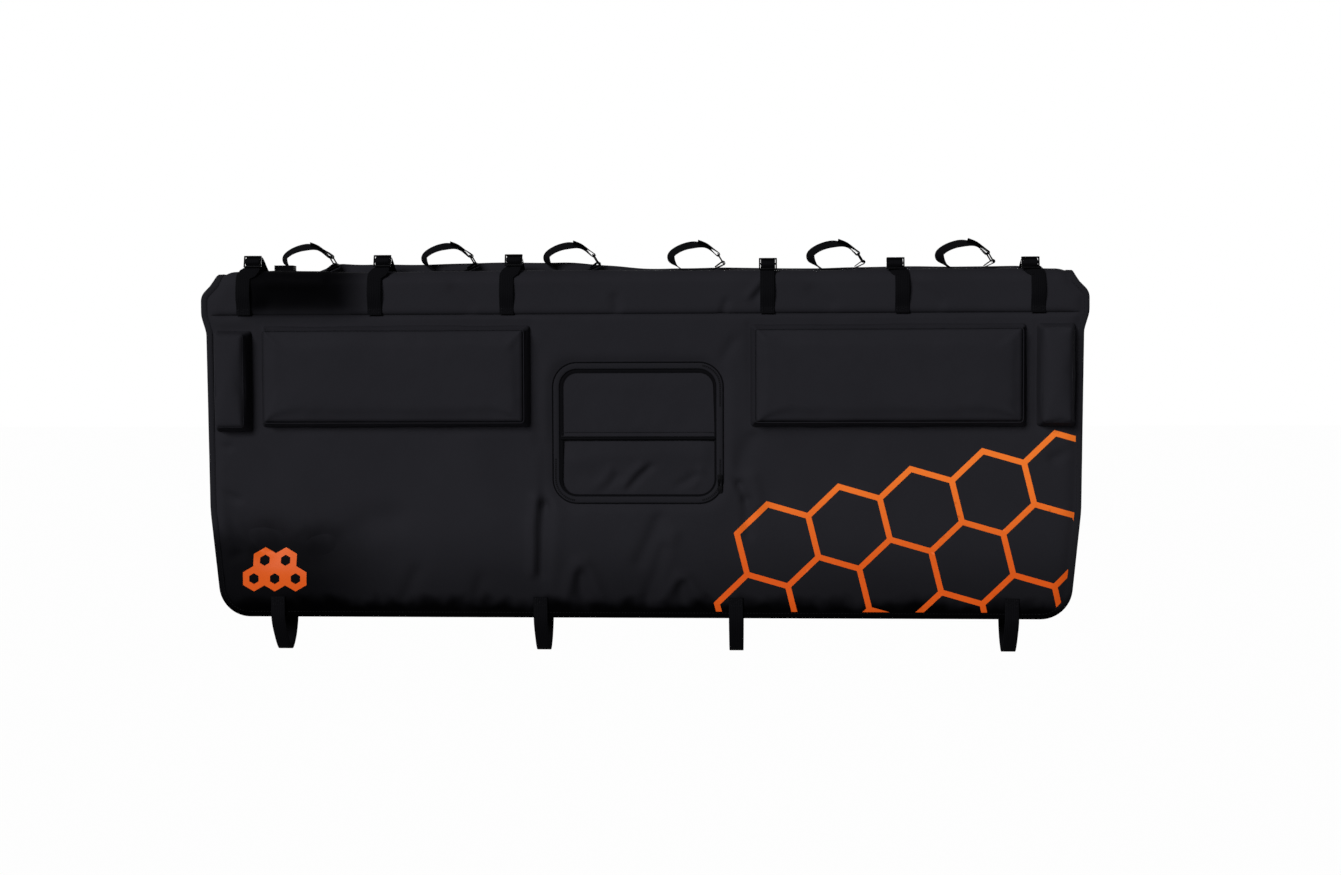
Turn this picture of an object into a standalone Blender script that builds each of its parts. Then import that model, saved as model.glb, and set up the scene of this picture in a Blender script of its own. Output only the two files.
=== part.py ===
"""Tailgate bike pad.

A padded cover that hangs over the closed tailgate of a pickup. Metres, +Z up, the front panel
faces -Y. The origin is the middle of the inner face of the top, which sits on the tailgate.

The pad is drawn flat, as it is cut, and then folded over the tailgate. A flat point is
(x, y, lift): y runs along the inner face, negative towards the front, and lift is the height
above that face.
"""

import math

import bmesh
import bpy
from mathutils import Matrix, Vector
from mathutils.geometry import interpolate_bezier

# How near a cut takes a point as its own, and the clearances between pieces
SNAP = 0.000002
FIT_GAP = 0.0003
SLIDE_GAP = 0.0007
LAYER_GAP = 0.0006

# The pad and its fold
TAILGATE_GAP = 0.080
PAD_THICKNESS = 0.012
SEWN_THICKNESS = 0.005
FOLD_RADIUS = 0.012
CROWN_WIDTH = 0.010
SEAM_ROUNDING = 0.003
SEAM_STEPS = 3

# Heights on the front, from the inner face of the top, and on the back flap
SHOULDER_Z = -0.030
SEAM_Z = -0.065
FLARE_DROP = 0.030
HIP_Z = -0.410
FOOT_Z = -0.598
FLAP_FOOT_Z = -0.240

# Half width at the band, how far in the outline is elsewhere, and its corner radii
BAND_HALF_WIDTH = 0.777
CREST_INSET = 0.027
PANEL_INSET = 0.009
HIP_INSET = 0.012
FOOT_INSET = 0.031
FLAP_INSET = 0.035
FOOT_RADIUS = 0.055
HIP_RADIUS = 0.150
BAND_RADIUS = 0.040
CREST_RADIUS = 0.024
FLAP_RADIUS = 0.040

# Tape folded round the cut edges
TAPE_THICKNESS = 0.0013
TAPE_WIDTH = 0.010
SEWN_MARGIN = TAPE_WIDTH + 0.001
LINING_STEP = 0.003

# Window in the front panel, with its two flaps
WINDOW_X = -0.0046
WINDOW_Z = -0.273
WINDOW_WIDTH = 0.278
WINDOW_HEIGHT = 0.226
WINDOW_RADIUS = 0.032
SLIT_Z = -0.280
FLAP_OVERLAP = 0.016
FLAP_CLOTH = 0.0018
FLAP_LIFT = 0.0006

# Zip slider and its pull
SLIDER_Z = -0.353
SLIDER_WIDTH = 0.009
SLIDER_LENGTH = 0.013
SLIDER_DEPTH = 0.0035
PULL_WIDTH = 0.006
PULL_LENGTH = 0.024
PULL_DEPTH = 0.0015
PULL_HOLE_RADIUS = 0.0016

# Raised foam blocks
BLOCK_THICKNESS = 0.032
BLOCK_HEIGHT = 0.160
BLOCK_Z = -0.173
BLOCK_DRAFT = 0.009
BLOCK_ROUNDING = 0.006
END_BLOCK_INSET = 0.057
END_BLOCK_WIDTH = 0.047
LONG_BLOCK_WIDTH = 0.458
BLOCK_GAP = 0.0185
LEFT_BLOCK_DROP = 0.007

# Webbing and the three-bar slides on it
WEB_WIDTH = 0.025
WEB_THICKNESS = 0.0016
BUCKLE_DEPTH = 0.0035
OUTER_BAR = 0.0025
MIDDLE_BAR = 0.003
SIDE_RAIL = 0.0025
SLOT_PLAY = 0.0033
SLOT_BEND = 0.42
BAR_CLEARANCE = 1.05

# Frame straps: two groups of three, and how far each leans sideways on its way up
STRAP_GROUPS_X = (-0.467, 0.456)
STRAP_PITCH = 0.2335
FRAME_STRAP_LEANS = (0.016, 0.0135, 0.012, 0.001, -0.0115, -0.013)
FRAME_STRAP_SEWN = 0.0115
FRAME_STRAP_BULGE = 0.005
FRAME_STRAP_TAIL = 0.075
SLACK_RISE = 0.030
SNUG_RISE = 0.021
BUCKLE_TILT = math.radians(15)
BUCKLE_STEP_BACK = 0.006
BUCKLE_BELOW_TOP = 0.57

# Shape of a frame strap over the crest: shares of the pad's half depth and of the rise
FRAME_STRAP_ARCH = ((-0.30, 1.00), (0.45, 0.75))
FRAME_STRAP_BACK_SLACK = 0.002

# Cinch loops between the frame straps, and their wire rings
LOOP_PLACES = (-0.592, -0.341, -0.122, 0.099, 0.345, 0.571)
LOOP_LENGTH = 0.094
LOOP_HEIGHT = 0.0455
LOOP_BASE = 0.052
LOOP_TIP = 0.013
LAST_STITCH = 0.001
RING_WIRE = 0.0026
RING_HEIGHT = 0.018
RING_TILT = math.radians(121)
RING_CORNER = 0.003
RING_CLEARANCE = 1.4 * LAYER_GAP
LOOP_TAB = (0.60, 0.30)

# Shape of a loop's arch: shares of its half length and of its height
LOOP_FOOT = ((-0.80, 0.22), (-1.00, 0.53))
LOOP_ARCH = ((-0.86, 0.74), (-0.45, 0.94), (0, 1), (0.36, 0.91))
LOOP_FOLD_BACK = 1.2

# Lower straps
LOWER_STRAP_PLACES = (-0.645, -0.177, 0.167, 0.647)
LOWER_STRAP_TOP_Z = -0.562
LOWER_STRAP_BOTTOM_Z = -0.663
LOWER_STRAP_TAIL = 0.070
BUCKLE_DROP = 0.022
TAIL_LEAN = 0.6
TAB_TOP_Z = -0.195

# Shape of a lower strap under the tailgate: shares of the half depth and of the drop
LOWER_STRAP_ARCH = ((-0.62, 0.60), (-0.14, 0.96), (0.14, 0.96), (0.62, 0.60))
LOWER_STRAP_FRONT_SLACK = 0.002
LOWER_STRAP_START = 0.10

# Orange transfer film
FILM_THICKNESS = 0.0004
FILM_LINE = 0.010
FILM_TILT = math.radians(14)
FILM_CELL = 0.074
FILM_START = (0.240, -0.470)
BADGE_CELL = 0.0215
BADGE_START = (-0.688, -0.531)
BADGE_CUT = 0.45
BADGE_JOIN = 0.002

# Smoothness of arcs and folds
ARC_STEP = math.radians(15)
SMALL_ARC_STEP = math.radians(45)
SMALL_RADIUS = 0.010
FOLD_STEPS = 8
CROWN_STEPS = 3
PATH_STEPS = 2
BLOCK_ROUNDING_STEPS = 3

# Worked out from the sizes above
TOP_FLAT = TAILGATE_GAP / 2 - FOLD_RADIUS
FOLD_LENGTH = FOLD_RADIUS * math.pi / 2
FACE_Y = TAILGATE_GAP / 2 + PAD_THICKNESS
EDGE_LIFT = TAPE_THICKNESS + 2 * FIT_GAP
EDGE_TOP = EDGE_LIFT + SEWN_THICKNESS
TAPE_FACE = EDGE_TOP + FIT_GAP + TAPE_THICKNESS
SLOT = 2 * WEB_THICKNESS + SLOT_PLAY
BUCKLE_HEIGHT = MIDDLE_BAR + 2 * SLOT + 2 * OUTER_BAR
BUCKLE_WIDTH = WEB_WIDTH + 2 * SLIDE_GAP + 2 * SIDE_RAIL
WEB_SEAT = FIT_GAP + WEB_THICKNESS / 2
END_BLOCK_X = BAND_HALF_WIDTH - END_BLOCK_INSET
BLOCK_SPACE = (END_BLOCK_WIDTH + LONG_BLOCK_WIDTH) / 2 + 2 * BLOCK_DRAFT + BLOCK_GAP
LONG_BLOCK_X = END_BLOCK_X - BLOCK_SPACE

CLOTH_BLACK = (0.017, 0.017, 0.021, 1)
TAPE_BLACK = (0.012, 0.012, 0.014, 1)
WEB_BLACK = (0.010, 0.010, 0.012, 1)
PLASTIC_BLACK = (0.014, 0.014, 0.016, 1)
FILM_ORANGE = (0.89, 0.17, 0.012, 1)


def material(name, color, roughness, metallic=0.0):
    """A plain material of this colour, made once."""
    found = bpy.data.materials.get(name)
    if found:
        return found
    made = bpy.data.materials.new(name)
    made.use_nodes = True
    surface = made.node_tree.nodes["Principled BSDF"]
    surface.inputs["Base Color"].default_value = color
    surface.inputs["Roughness"].default_value = roughness
    surface.inputs["Metallic"].default_value = metallic
    made.diffuse_color = color
    return made


def cloth():
    return material("coated_cloth", CLOTH_BLACK, 0.55)


def tape():
    return material("binding_tape", TAPE_BLACK, 0.7)


def webbing():
    return material("black_webbing", WEB_BLACK, 0.75)


def plastic():
    return material("moulded_plastic", PLASTIC_BLACK, 0.4)


def film():
    return material("orange_film", FILM_ORANGE, 0.4)


def fresh_collection(name, in_render=True):
    collection = bpy.data.collections.new(name)
    collection.hide_render = not in_render
    bpy.context.scene.collection.children.link(collection)
    return collection


def clear_scene():
    for obj in list(bpy.data.objects):
        bpy.data.objects.remove(obj)


def add_object(name, data, collection):
    obj = bpy.data.objects.new(name, data)
    collection.objects.link(obj)
    return obj


def evaluated_mesh(obj):
    """The object's mesh with its modifiers in it, as a new bmesh in world space."""
    bpy.context.view_layer.update()
    graph = bpy.context.evaluated_depsgraph_get()
    mesh = bpy.data.meshes.new_from_object(obj.evaluated_get(graph))
    shape = bmesh.new()
    shape.from_mesh(mesh)
    shape.transform(obj.matrix_world)
    bmesh.ops.remove_doubles(shape, verts=shape.verts, dist=1e-6)
    bpy.data.meshes.remove(mesh)
    return shape


def taken(obj):
    """As evaluated_mesh, for a helper that isn't needed afterwards."""
    shape = evaluated_mesh(obj)
    bpy.data.objects.remove(obj)
    return shape


def finish(name, shape, surface):
    """The bmesh as a named object of the pad, with its material and smooth round faces."""
    mesh = bpy.data.meshes.new(name)
    shape.to_mesh(mesh)
    shape.free()
    mesh.materials.append(surface)
    mesh.shade_smooth()
    mesh.set_sharp_from_angle(angle=math.radians(35))
    return add_object(name, mesh, PAD)


def rounded(corners):
    """Outline through corners (x, y, radius), each turned into an arc of that radius."""
    points = []
    for index, (x, y, radius) in enumerate(corners):
        corner = Vector((x, y))
        back = (Vector(corners[index - 1][:2]) - corner).normalized()
        ahead = (Vector(corners[(index + 1) % len(corners)][:2]) - corner).normalized()
        half = back.angle(ahead) / 2
        if radius == 0 or half > math.radians(89.9):
            points.append(corner)
            continue
        centre = corner + (back + ahead).normalized() * radius / math.sin(half)
        spoke = corner + back * radius / math.tan(half) - centre
        sweep = math.copysign(math.pi - 2 * half, back.cross(ahead))
        arc_step = SMALL_ARC_STEP if radius < SMALL_RADIUS else ARC_STEP
        steps = max(1, round(abs(sweep) / arc_step))
        for step in range(steps + 1):
            points.append(centre + Matrix.Rotation(-sweep * step / steps, 2) @ spoke)
    return points


def grown(outline, distance):
    """An anticlockwise outline moved outwards by a distance, or inwards by a negative one."""
    moved = []
    for index, point in enumerate(outline):
        arrive = (point - outline[index - 1]).normalized()
        leave = (outline[(index + 1) % len(outline)] - point).normalized()
        along = (arrive + leave).normalized()
        outward = Vector((along.y, -along.x))
        moved.append(point + outward * distance / along.dot(leave))
    return moved


def plate(outlines, low, high):
    """A flat solid between two lifts. The first outline is its rim and the others are holes."""
    curve = bpy.data.curves.new("outline", "CURVE")
    curve.dimensions = "2D"
    curve.fill_mode = "BOTH"
    curve.extrude = (high - low) / 2
    for outline in outlines:
        spline = curve.splines.new("POLY")
        spline.points.add(len(outline) - 1)
        for knot, point in zip(spline.points, outline):
            knot.co = (point.x, point.y, 0, 1)
        spline.use_cyclic_u = True
    shape = taken(add_object("outline", curve, HELPERS))
    bmesh.ops.translate(shape, verts=shape.verts, vec=(0, 0, (low + high) / 2))
    bmesh.ops.recalc_face_normals(shape, faces=shape.faces)
    return shape


def combined(first, second, operation):
    """Two solids joined, cut or intersected."""
    objects = []
    for name, shape in (("first", first), ("second", second)):
        mesh = bpy.data.meshes.new(name)
        shape.to_mesh(mesh)
        shape.free()
        objects.append(add_object(name, mesh, HELPERS))
    joint = objects[0].modifiers.new("joint", "BOOLEAN")
    joint.operation = operation
    joint.object = objects[1]
    result = evaluated_mesh(objects[0])
    for obj in objects:
        bpy.data.objects.remove(obj)
    return result


def cut_away(shape, point, normal):
    """Removes what lies beyond a plane, on the side its normal points to, and closes the cut."""
    geometry = shape.verts[:] + shape.edges[:] + shape.faces[:]
    cut = bmesh.ops.bisect_plane(
        shape, geom=geometry, dist=SNAP, plane_co=point, plane_no=normal, clear_outer=True
    )
    rim = [item for item in cut["geom_cut"] if isinstance(item, bmesh.types.BMEdge)]
    cap = bmesh.ops.edgeloop_fill(shape, edges=rim)["faces"]
    bmesh.ops.triangulate(shape, faces=cap)
    bmesh.ops.recalc_face_normals(shape, faces=shape.faces)


def front_flat(z):
    """Flat y of a height on the front panel."""
    return -(TOP_FLAT + FOLD_LENGTH - FOLD_RADIUS - z)


def back_flat(z):
    """Flat y of a height on the back flap."""
    return -front_flat(z)


def folded(point):
    """Where a flat point lies once the pad hangs over the tailgate."""
    x, y, lift = point
    distance = abs(y)
    if distance <= TOP_FLAT:
        return Vector((x, y, lift))
    turn = min((distance - TOP_FLAT) / FOLD_RADIUS, math.pi / 2)
    drop = max(distance - TOP_FLAT - FOLD_LENGTH, 0)
    out = TOP_FLAT + (FOLD_RADIUS + lift) * math.sin(turn)
    height = (FOLD_RADIUS + lift) * math.cos(turn) - FOLD_RADIUS - drop
    return Vector((x, math.copysign(out, y), height))


def fold_over_tailgate(shape):
    """Scores the flat solid along the two folds and bends it over the tailgate."""
    for side in (-1, 1):
        for step in range(FOLD_STEPS + 1):
            score = side * (TOP_FLAT + FOLD_LENGTH * step / FOLD_STEPS)
            geometry = shape.verts[:] + shape.edges[:] + shape.faces[:]
            bmesh.ops.bisect_plane(
                shape, geom=geometry, dist=SNAP, plane_co=(0, score, 0), plane_no=(0, 1, 0)
            )
    for vert in shape.verts:
        vert.co = folded(vert.co)


def pad_outline():
    """The cut edge of the whole pad laid flat, anticlockwise from the front right foot."""
    crest_y = -TOP_FLAT - FOLD_LENGTH / 2
    stations = [
        (FOOT_INSET, front_flat(FOOT_Z), FOOT_RADIUS),
        (HIP_INSET, front_flat(HIP_Z), HIP_RADIUS),
        (PANEL_INSET, front_flat(SEAM_Z - FLARE_DROP), BAND_RADIUS),
        (0, front_flat(SEAM_Z), BAND_RADIUS),
        (0, front_flat(SHOULDER_Z), CREST_RADIUS),
        (CREST_INSET, crest_y, CREST_RADIUS),
        (FLAP_INSET, back_flat(FLAP_FOOT_Z), FLAP_RADIUS),
    ]
    right = [(BAND_HALF_WIDTH - inset, y, radius) for inset, y, radius in stations]
    left = [(-x, y, radius) for x, y, radius in reversed(right)]
    return rounded(right + left)


def window_outline():
    """The cut edge of the window laid flat, anticlockwise."""
    middle = front_flat(WINDOW_Z)
    corners = []
    for across, up in ((1, -1), (1, 1), (-1, 1), (-1, -1)):
        x = WINDOW_X + across * WINDOW_WIDTH / 2
        corners.append((x, middle + up * WINDOW_HEIGHT / 2, WINDOW_RADIUS))
    return rounded(corners)


def edge_profile():
    """How a sewn edge runs from the inner face to the outer one, as distance in and lift.

    The sewn edge stands off the inner face by the tape's thickness, so the tape ends up flush.
    """
    profile = [(SEWN_MARGIN + LINING_STEP, 0), (SEWN_MARGIN, EDGE_LIFT), (0, EDGE_LIFT)]
    profile.append((0, EDGE_TOP))
    for step in range(CROWN_STEPS + 1):
        rise = (PAD_THICKNESS - EDGE_TOP) * math.sin(math.pi / 2 * step / CROWN_STEPS)
        profile.append((SEWN_MARGIN + CROWN_WIDTH * step / CROWN_STEPS, EDGE_TOP + rise))
    return profile


def pad_blank():
    """The padded pad laid flat: thin along every sewn edge, then rising to its full thickness."""
    shape = bmesh.new()
    lining = []
    cover = []
    for outline, side in ((pad_outline(), 1), (window_outline(), -1)):
        rings = []
        for inset, lift in edge_profile():
            points = grown(outline, -side * inset)
            rings.append([shape.verts.new((point.x, point.y, lift)) for point in points])
        for low, high in zip(rings, rings[1:]):
            for index in range(len(outline)):
                shape.faces.new((low[index - 1], low[index], high[index], high[index - 1]))
        for rim, ring in ((lining, rings[0]), (cover, rings[-1])):
            rim += [shape.edges.get((ring[index - 1], ring[index])) for index in range(len(outline))]
    for rim in (lining, cover):
        bmesh.ops.triangle_fill(shape, edges=rim, use_beauty=True)
    bmesh.ops.recalc_face_normals(shape, faces=shape.faces)
    return shape


def round_seam(shape, seam_y, side):
    """Rounds the outer face down into the seam, on the side of it that is kept."""
    for step in range(SEAM_STEPS + 1):
        away = SEAM_ROUNDING * (1 - math.cos(math.pi / 2 * step / SEAM_STEPS))
        geometry = shape.verts[:] + shape.edges[:] + shape.faces[:]
        score = (0, seam_y + side * away, 0)
        bmesh.ops.bisect_plane(
            shape, geom=geometry, dist=SNAP, plane_co=score, plane_no=(0, 1, 0)
        )
    for vert in shape.verts:
        short = SEAM_ROUNDING - max(side * (vert.co.y - seam_y), 0)
        if short > 0:
            drop = SEAM_ROUNDING - math.sqrt(SEAM_ROUNDING ** 2 - short ** 2)
            vert.co.z = min(vert.co.z, PAD_THICKNESS - drop)


def front_panel():
    shape = pad_blank()
    seam_y = front_flat(SEAM_Z) - FIT_GAP / 2
    round_seam(shape, seam_y, -1)
    cut_away(shape, (0, seam_y, 0), (0, 1, 0))
    fold_over_tailgate(shape)
    finish("front_panel", shape, cloth())


def top_band():
    shape = pad_blank()
    seam_y = front_flat(SEAM_Z) + FIT_GAP / 2
    round_seam(shape, seam_y, 1)
    cut_away(shape, (0, seam_y, 0), (0, -1, 0))
    fold_over_tailgate(shape)
    finish("top_band", shape, cloth())


def folded_tape(name, edge, side):
    """Tape folded round a cut edge. The pad lies inside the edge for side 1, outside for -1."""
    skin = FIT_GAP + TAPE_THICKNESS
    lip = grown(edge, -side * TAPE_WIDTH)
    shape = plate([grown(edge, side * skin), lip], EDGE_LIFT - skin, EDGE_TOP + skin)
    past_lip = grown(edge, -side * 2 * TAPE_WIDTH)
    pad_room = plate(
        [grown(edge, side * FIT_GAP), past_lip], EDGE_LIFT - FIT_GAP, EDGE_TOP + FIT_GAP
    )
    shape = combined(shape, pad_room, "DIFFERENCE")
    fold_over_tailgate(shape)
    finish(name, shape, tape())


def access_flap(name, lift, keep_above, slit_z):
    """One cloth flap of the window, cut off along the slit, above or below it."""
    room = FIT_GAP + TAPE_THICKNESS + FIT_GAP
    shape = plate([grown(window_outline(), -room)], lift, lift + FLAP_CLOTH)
    away = -1 if keep_above else 1
    cut_away(shape, (0, front_flat(slit_z), 0), (0, away, 0))
    fold_over_tailgate(shape)
    finish(name, shape, cloth())


def access_flaps():
    access_flap("access_flap_lower", FLAP_LIFT, False, SLIT_Z + FLAP_OVERLAP)
    upper_lift = FLAP_LIFT + FLAP_CLOTH + FIT_GAP
    access_flap("access_flap_upper", upper_lift, True, SLIT_Z)


def stand_up(shape, y):
    """Turns a plate drawn in x and z to face the front, its low side at this y."""
    turn = Matrix.Translation((0, y, 0)) @ Matrix.Rotation(math.pi / 2, 4, "X")
    bmesh.ops.transform(shape, matrix=turn, verts=shape.verts)


def oblong(x, y, width, height, radius):
    """Outline of an upright rectangle with rounded corners, anticlockwise."""
    corners = []
    for across, up in ((1, -1), (1, 1), (-1, 1), (-1, -1)):
        corners.append((x + across * width / 2, y + up * height / 2, radius))
    return rounded(corners)


def zip_slider():
    """The slider on the window's zip, with its pull hanging from it."""
    x = WINDOW_X + (WINDOW_WIDTH + TAPE_WIDTH) / 2
    body_outline = oblong(x, SLIDER_Z, SLIDER_WIDTH, SLIDER_LENGTH, SLIDER_WIDTH / 3)
    body = plate([body_outline], 0, SLIDER_DEPTH)
    pull_z = SLIDER_Z - PULL_LENGTH / 2
    pull_outline = oblong(x, pull_z, PULL_WIDTH, PULL_LENGTH, PULL_WIDTH / 3)
    hole_z = pull_z - PULL_LENGTH / 2 + 2 * PULL_HOLE_RADIUS
    hole_size = 2 * PULL_HOLE_RADIUS
    hole = oblong(x, hole_z, hole_size, hole_size, PULL_HOLE_RADIUS * 0.99)
    pull_low = SLIDER_DEPTH - PULL_DEPTH / 2
    pull = plate([pull_outline, hole], pull_low, pull_low + PULL_DEPTH)
    shape = combined(body, pull, "UNION")
    stand_up(shape, -(TAILGATE_GAP / 2 + TAPE_FACE + FIT_GAP))
    finish("zip_slider", shape, plastic())


def foam_block(name, x, z, width):
    """A raised block with sloping sides and rounded front edges, sewn flat on the panel."""
    shape = bmesh.new()
    bmesh.ops.create_cube(shape, size=1)
    for vert in shape.verts:
        spread = 0 if vert.co.y < 0 else 2 * BLOCK_DRAFT
        vert.co.x *= width + spread
        vert.co.y *= BLOCK_THICKNESS
        vert.co.z *= BLOCK_HEIGHT + spread
    front_edges = [edge for edge in shape.edges if any(vert.co.y < 0 for vert in edge.verts)]
    bmesh.ops.bevel(
        shape,
        geom=front_edges,
        offset=BLOCK_ROUNDING,
        segments=BLOCK_ROUNDING_STEPS,
        profile=0.5,
        affect="EDGES",
    )
    y = -FACE_Y - FIT_GAP - BLOCK_THICKNESS / 2
    bmesh.ops.translate(shape, verts=shape.verts, vec=(x, y, z))
    finish(name, shape, cloth())


def foam_blocks():
    foam_block("foam_block_1", -END_BLOCK_X, BLOCK_Z - LEFT_BLOCK_DROP, END_BLOCK_WIDTH)
    foam_block("foam_block_2", -LONG_BLOCK_X, BLOCK_Z, LONG_BLOCK_WIDTH)
    foam_block("foam_block_3", LONG_BLOCK_X, BLOCK_Z, LONG_BLOCK_WIDTH)
    foam_block("foam_block_4", END_BLOCK_X, BLOCK_Z, END_BLOCK_WIDTH)


def smooth(points):
    """Points along a smooth curve through the given ones."""
    points = [Vector(point) for point in points]
    before = points[:1] + points[:-1]
    after = points[1:] + points[-1:]
    along = [(ahead - behind).normalized() for behind, ahead in zip(before, after)]
    path = [points[0]]
    for start, end, leave, arrive in zip(points, points[1:], along, along[1:]):
        reach = (end - start).length / 3
        first = (start + leave * reach).to_3d()
        second = (end - arrive * reach).to_3d()
        curve = interpolate_bezier(start.to_3d(), first, second, end.to_3d(), PATH_STEPS + 1)
        path += [point.to_2d() for point in curve[1:]]
    return path


def arc(centre, radius, start, end, steps):
    """Points on an arc from one angle to another, in degrees."""
    points = []
    for step in range(steps + 1):
        angle = math.radians(start + (end - start) * step / steps)
        points.append((centre[0] + radius * math.cos(angle), centre[1] + radius * math.sin(angle)))
    return points


def beside(points, distance):
    """An open path moved to its left by a distance."""
    points = [Vector(point) for point in points]
    before = points[:1] + points[:-1]
    after = points[1:] + points[-1:]
    moved = []
    for point, behind, ahead in zip(points, before, after):
        along = (ahead - behind).normalized()
        moved.append(point + Vector((-along.y, along.x)) * distance)
    return moved


def ribbon(path, turn):
    """Webbing whose middle follows a path drawn in its side view, turned into place."""
    curve = bpy.data.curves.new("webbing", "CURVE")
    curve.dimensions = "2D"
    curve.fill_mode = "NONE"
    curve.extrude = WEB_WIDTH / 2
    spline = curve.splines.new("POLY")
    spline.points.add(len(path) - 1)
    for knot, point in zip(spline.points, path):
        knot.co = (point[0], point[1], 0, 1)
    strip = taken(add_object("webbing", curve, HELPERS))
    mesh = bpy.data.meshes.new("webbing")
    strip.to_mesh(mesh)
    strip.free()
    obj = add_object("webbing", mesh, HELPERS)
    thicken = obj.modifiers.new("thickness", "SOLIDIFY")
    thicken.thickness = WEB_THICKNESS
    thicken.offset = 0
    thicken.use_even_offset = True
    obj.matrix_world = turn
    shape = taken(obj)
    bmesh.ops.recalc_face_normals(shape, faces=shape.faces)
    return shape


def side_view(x):
    """Turns a path drawn as (y, z) to lie across the pad at this x."""
    axes = Matrix(((0, 0, 1), (1, 0, 0), (0, 1, 0))).to_4x4()
    return Matrix.Translation((x, 0, 0)) @ axes


def front_view(x, z):
    """Turns a path drawn as (x, z) to lie along the crest, from this x and z."""
    return Matrix.Translation((x, 0, z)) @ Matrix.Rotation(math.pi / 2, 4, "X")


def buckle_outline():
    return oblong(0, 0, BUCKLE_WIDTH, BUCKLE_HEIGHT, OUTER_BAR)


def buckle(name, middle, tilt):
    """A three-bar slide, upright or leaning back by tilt, centred on a point."""
    slot_width = BUCKLE_WIDTH - 2 * SIDE_RAIL
    slot_up = (MIDDLE_BAR + SLOT) / 2
    slots = [oblong(0, up, slot_width, SLOT, SLOT / 6) for up in (slot_up, -slot_up)]
    shape = plate([buckle_outline(), *slots], -BUCKLE_DEPTH / 2, BUCKLE_DEPTH / 2)
    upright = Matrix.Rotation(math.pi / 2 - tilt, 4, "X")
    place = Matrix.Translation(middle) @ upright
    bmesh.ops.transform(shape, matrix=place, verts=shape.verts)
    finish(name, shape, plastic())


def threaded_through_slide():
    """Side view of webbing woven through a slide, as (up, forward) from the slide's middle."""
    forward = (BUCKLE_DEPTH + WEB_THICKNESS) / 2 + SLIDE_GAP
    slot_up = (MIDDLE_BAR + SLOT) / 2
    rising = [
        (-BUCKLE_HEIGHT / 2, -forward),
        (-slot_up - SLOT_BEND * SLOT, -forward),
        (-slot_up, 0),
        (-slot_up + SLOT_BEND * SLOT, forward),
    ]
    over = [(0, BAR_CLEARANCE * forward)]
    falling = [(-up, out) for up, out in reversed(rising)]
    return rising + over + falling


def crest_share(z):
    """How far a frame strap has moved sideways at this height, as a share of its lean."""
    share = min(max((z - SEAM_Z) / (PAD_THICKNESS - SEAM_Z), 0), 1)
    return share * share * (3 - 2 * share)


def frame_strap(number, x, rise, lean):
    """Webbing from the seam, through its slide on the crest, and down the back flap."""
    top_z = PAD_THICKNESS + rise
    seat_y = FACE_Y + WEB_SEAT
    middle = Vector((-FACE_Y + BUCKLE_STEP_BACK, top_z - BUCKLE_HEIGHT * BUCKLE_BELOW_TOP))
    up = Vector((math.sin(BUCKLE_TILT), math.cos(BUCKLE_TILT)))
    forward = Vector((-up.y, up.x))
    woven = [middle + up * along + forward * out for along, out in threaded_through_slide()]
    arch = [(FACE_Y * back, PAD_THICKNESS + rise * up) for back, up in FRAME_STRAP_ARCH]
    path = [
        (-seat_y, SEAM_Z + FIT_GAP),
        (-seat_y, SEAM_Z + FRAME_STRAP_SEWN),
        (-seat_y - FRAME_STRAP_BULGE, SHOULDER_Z),
        (-seat_y - FRAME_STRAP_BULGE / 3, -FOLD_RADIUS / 2),
        *woven,
        *arch,
        (seat_y + FRAME_STRAP_BACK_SLACK, -FOLD_RADIUS / 2),
        (seat_y, SHOULDER_Z),
        (seat_y, -FRAME_STRAP_TAIL),
    ]
    shape = ribbon(smooth(path), side_view(x))
    for vert in shape.verts:
        vert.co.x += lean * crest_share(vert.co.z if vert.co.y < 0 else 1)
    finish(f"frame_strap_{number}", shape, webbing())
    buckle(f"strap_buckle_{number}", (x + lean, middle.x, middle.y), BUCKLE_TILT)


def frame_straps():
    places = [(group, step) for group in STRAP_GROUPS_X for step in (-1, 0, 1)]
    for number, ((group, step), lean) in enumerate(zip(places, FRAME_STRAP_LEANS), 1):
        rise = SLACK_RISE if group < 0 else SNUG_RISE
        frame_strap(number, group + step * STRAP_PITCH, rise, lean)


def cinch_loop(number, x):
    """A loop of webbing sewn to the crest, closed through a wire ring at its right end."""
    wrap = (RING_WIRE + WEB_THICKNESS) / 2 + RING_CLEARANCE
    half = LOOP_LENGTH / 2
    low_bar = Vector((half - RING_WIRE / 2, LOOP_TIP))
    ring_up = Vector((math.cos(RING_TILT), math.sin(RING_TILT)))
    high_bar = low_bar + ring_up * RING_HEIGHT
    end = LOOP_BASE / 2
    sewn = [(along, WEB_SEAT) for along in (end, end - LAST_STITCH, LAST_STITCH - end, -end)]
    step = WEB_THICKNESS + LAYER_GAP
    tab_end = (LOOP_BASE * LOOP_TAB[0], LOOP_TIP * LOOP_TAB[1] + step)
    tab = [tab_end, *arc(low_bar, wrap, 110, -70, 4)]
    foot = [(half * along, LOOP_HEIGHT * up) for along, up in LOOP_FOOT]
    arch = [(half * along, LOOP_HEIGHT * up) for along, up in LOOP_ARCH]
    round_ring = arc(high_bar, wrap, -130, 50, 4)
    folded_back = beside(list(reversed(arch[2:])), -step * LOOP_FOLD_BACK)
    path = [*tab, *sewn, *foot, *arch, *round_ring, *folded_back]
    turn = front_view(x, PAD_THICKNESS)
    finish(f"downtube_strap_{number}", ribbon(smooth(path), turn), webbing())
    strap_ring(number, turn, (low_bar + high_bar) / 2)


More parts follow.
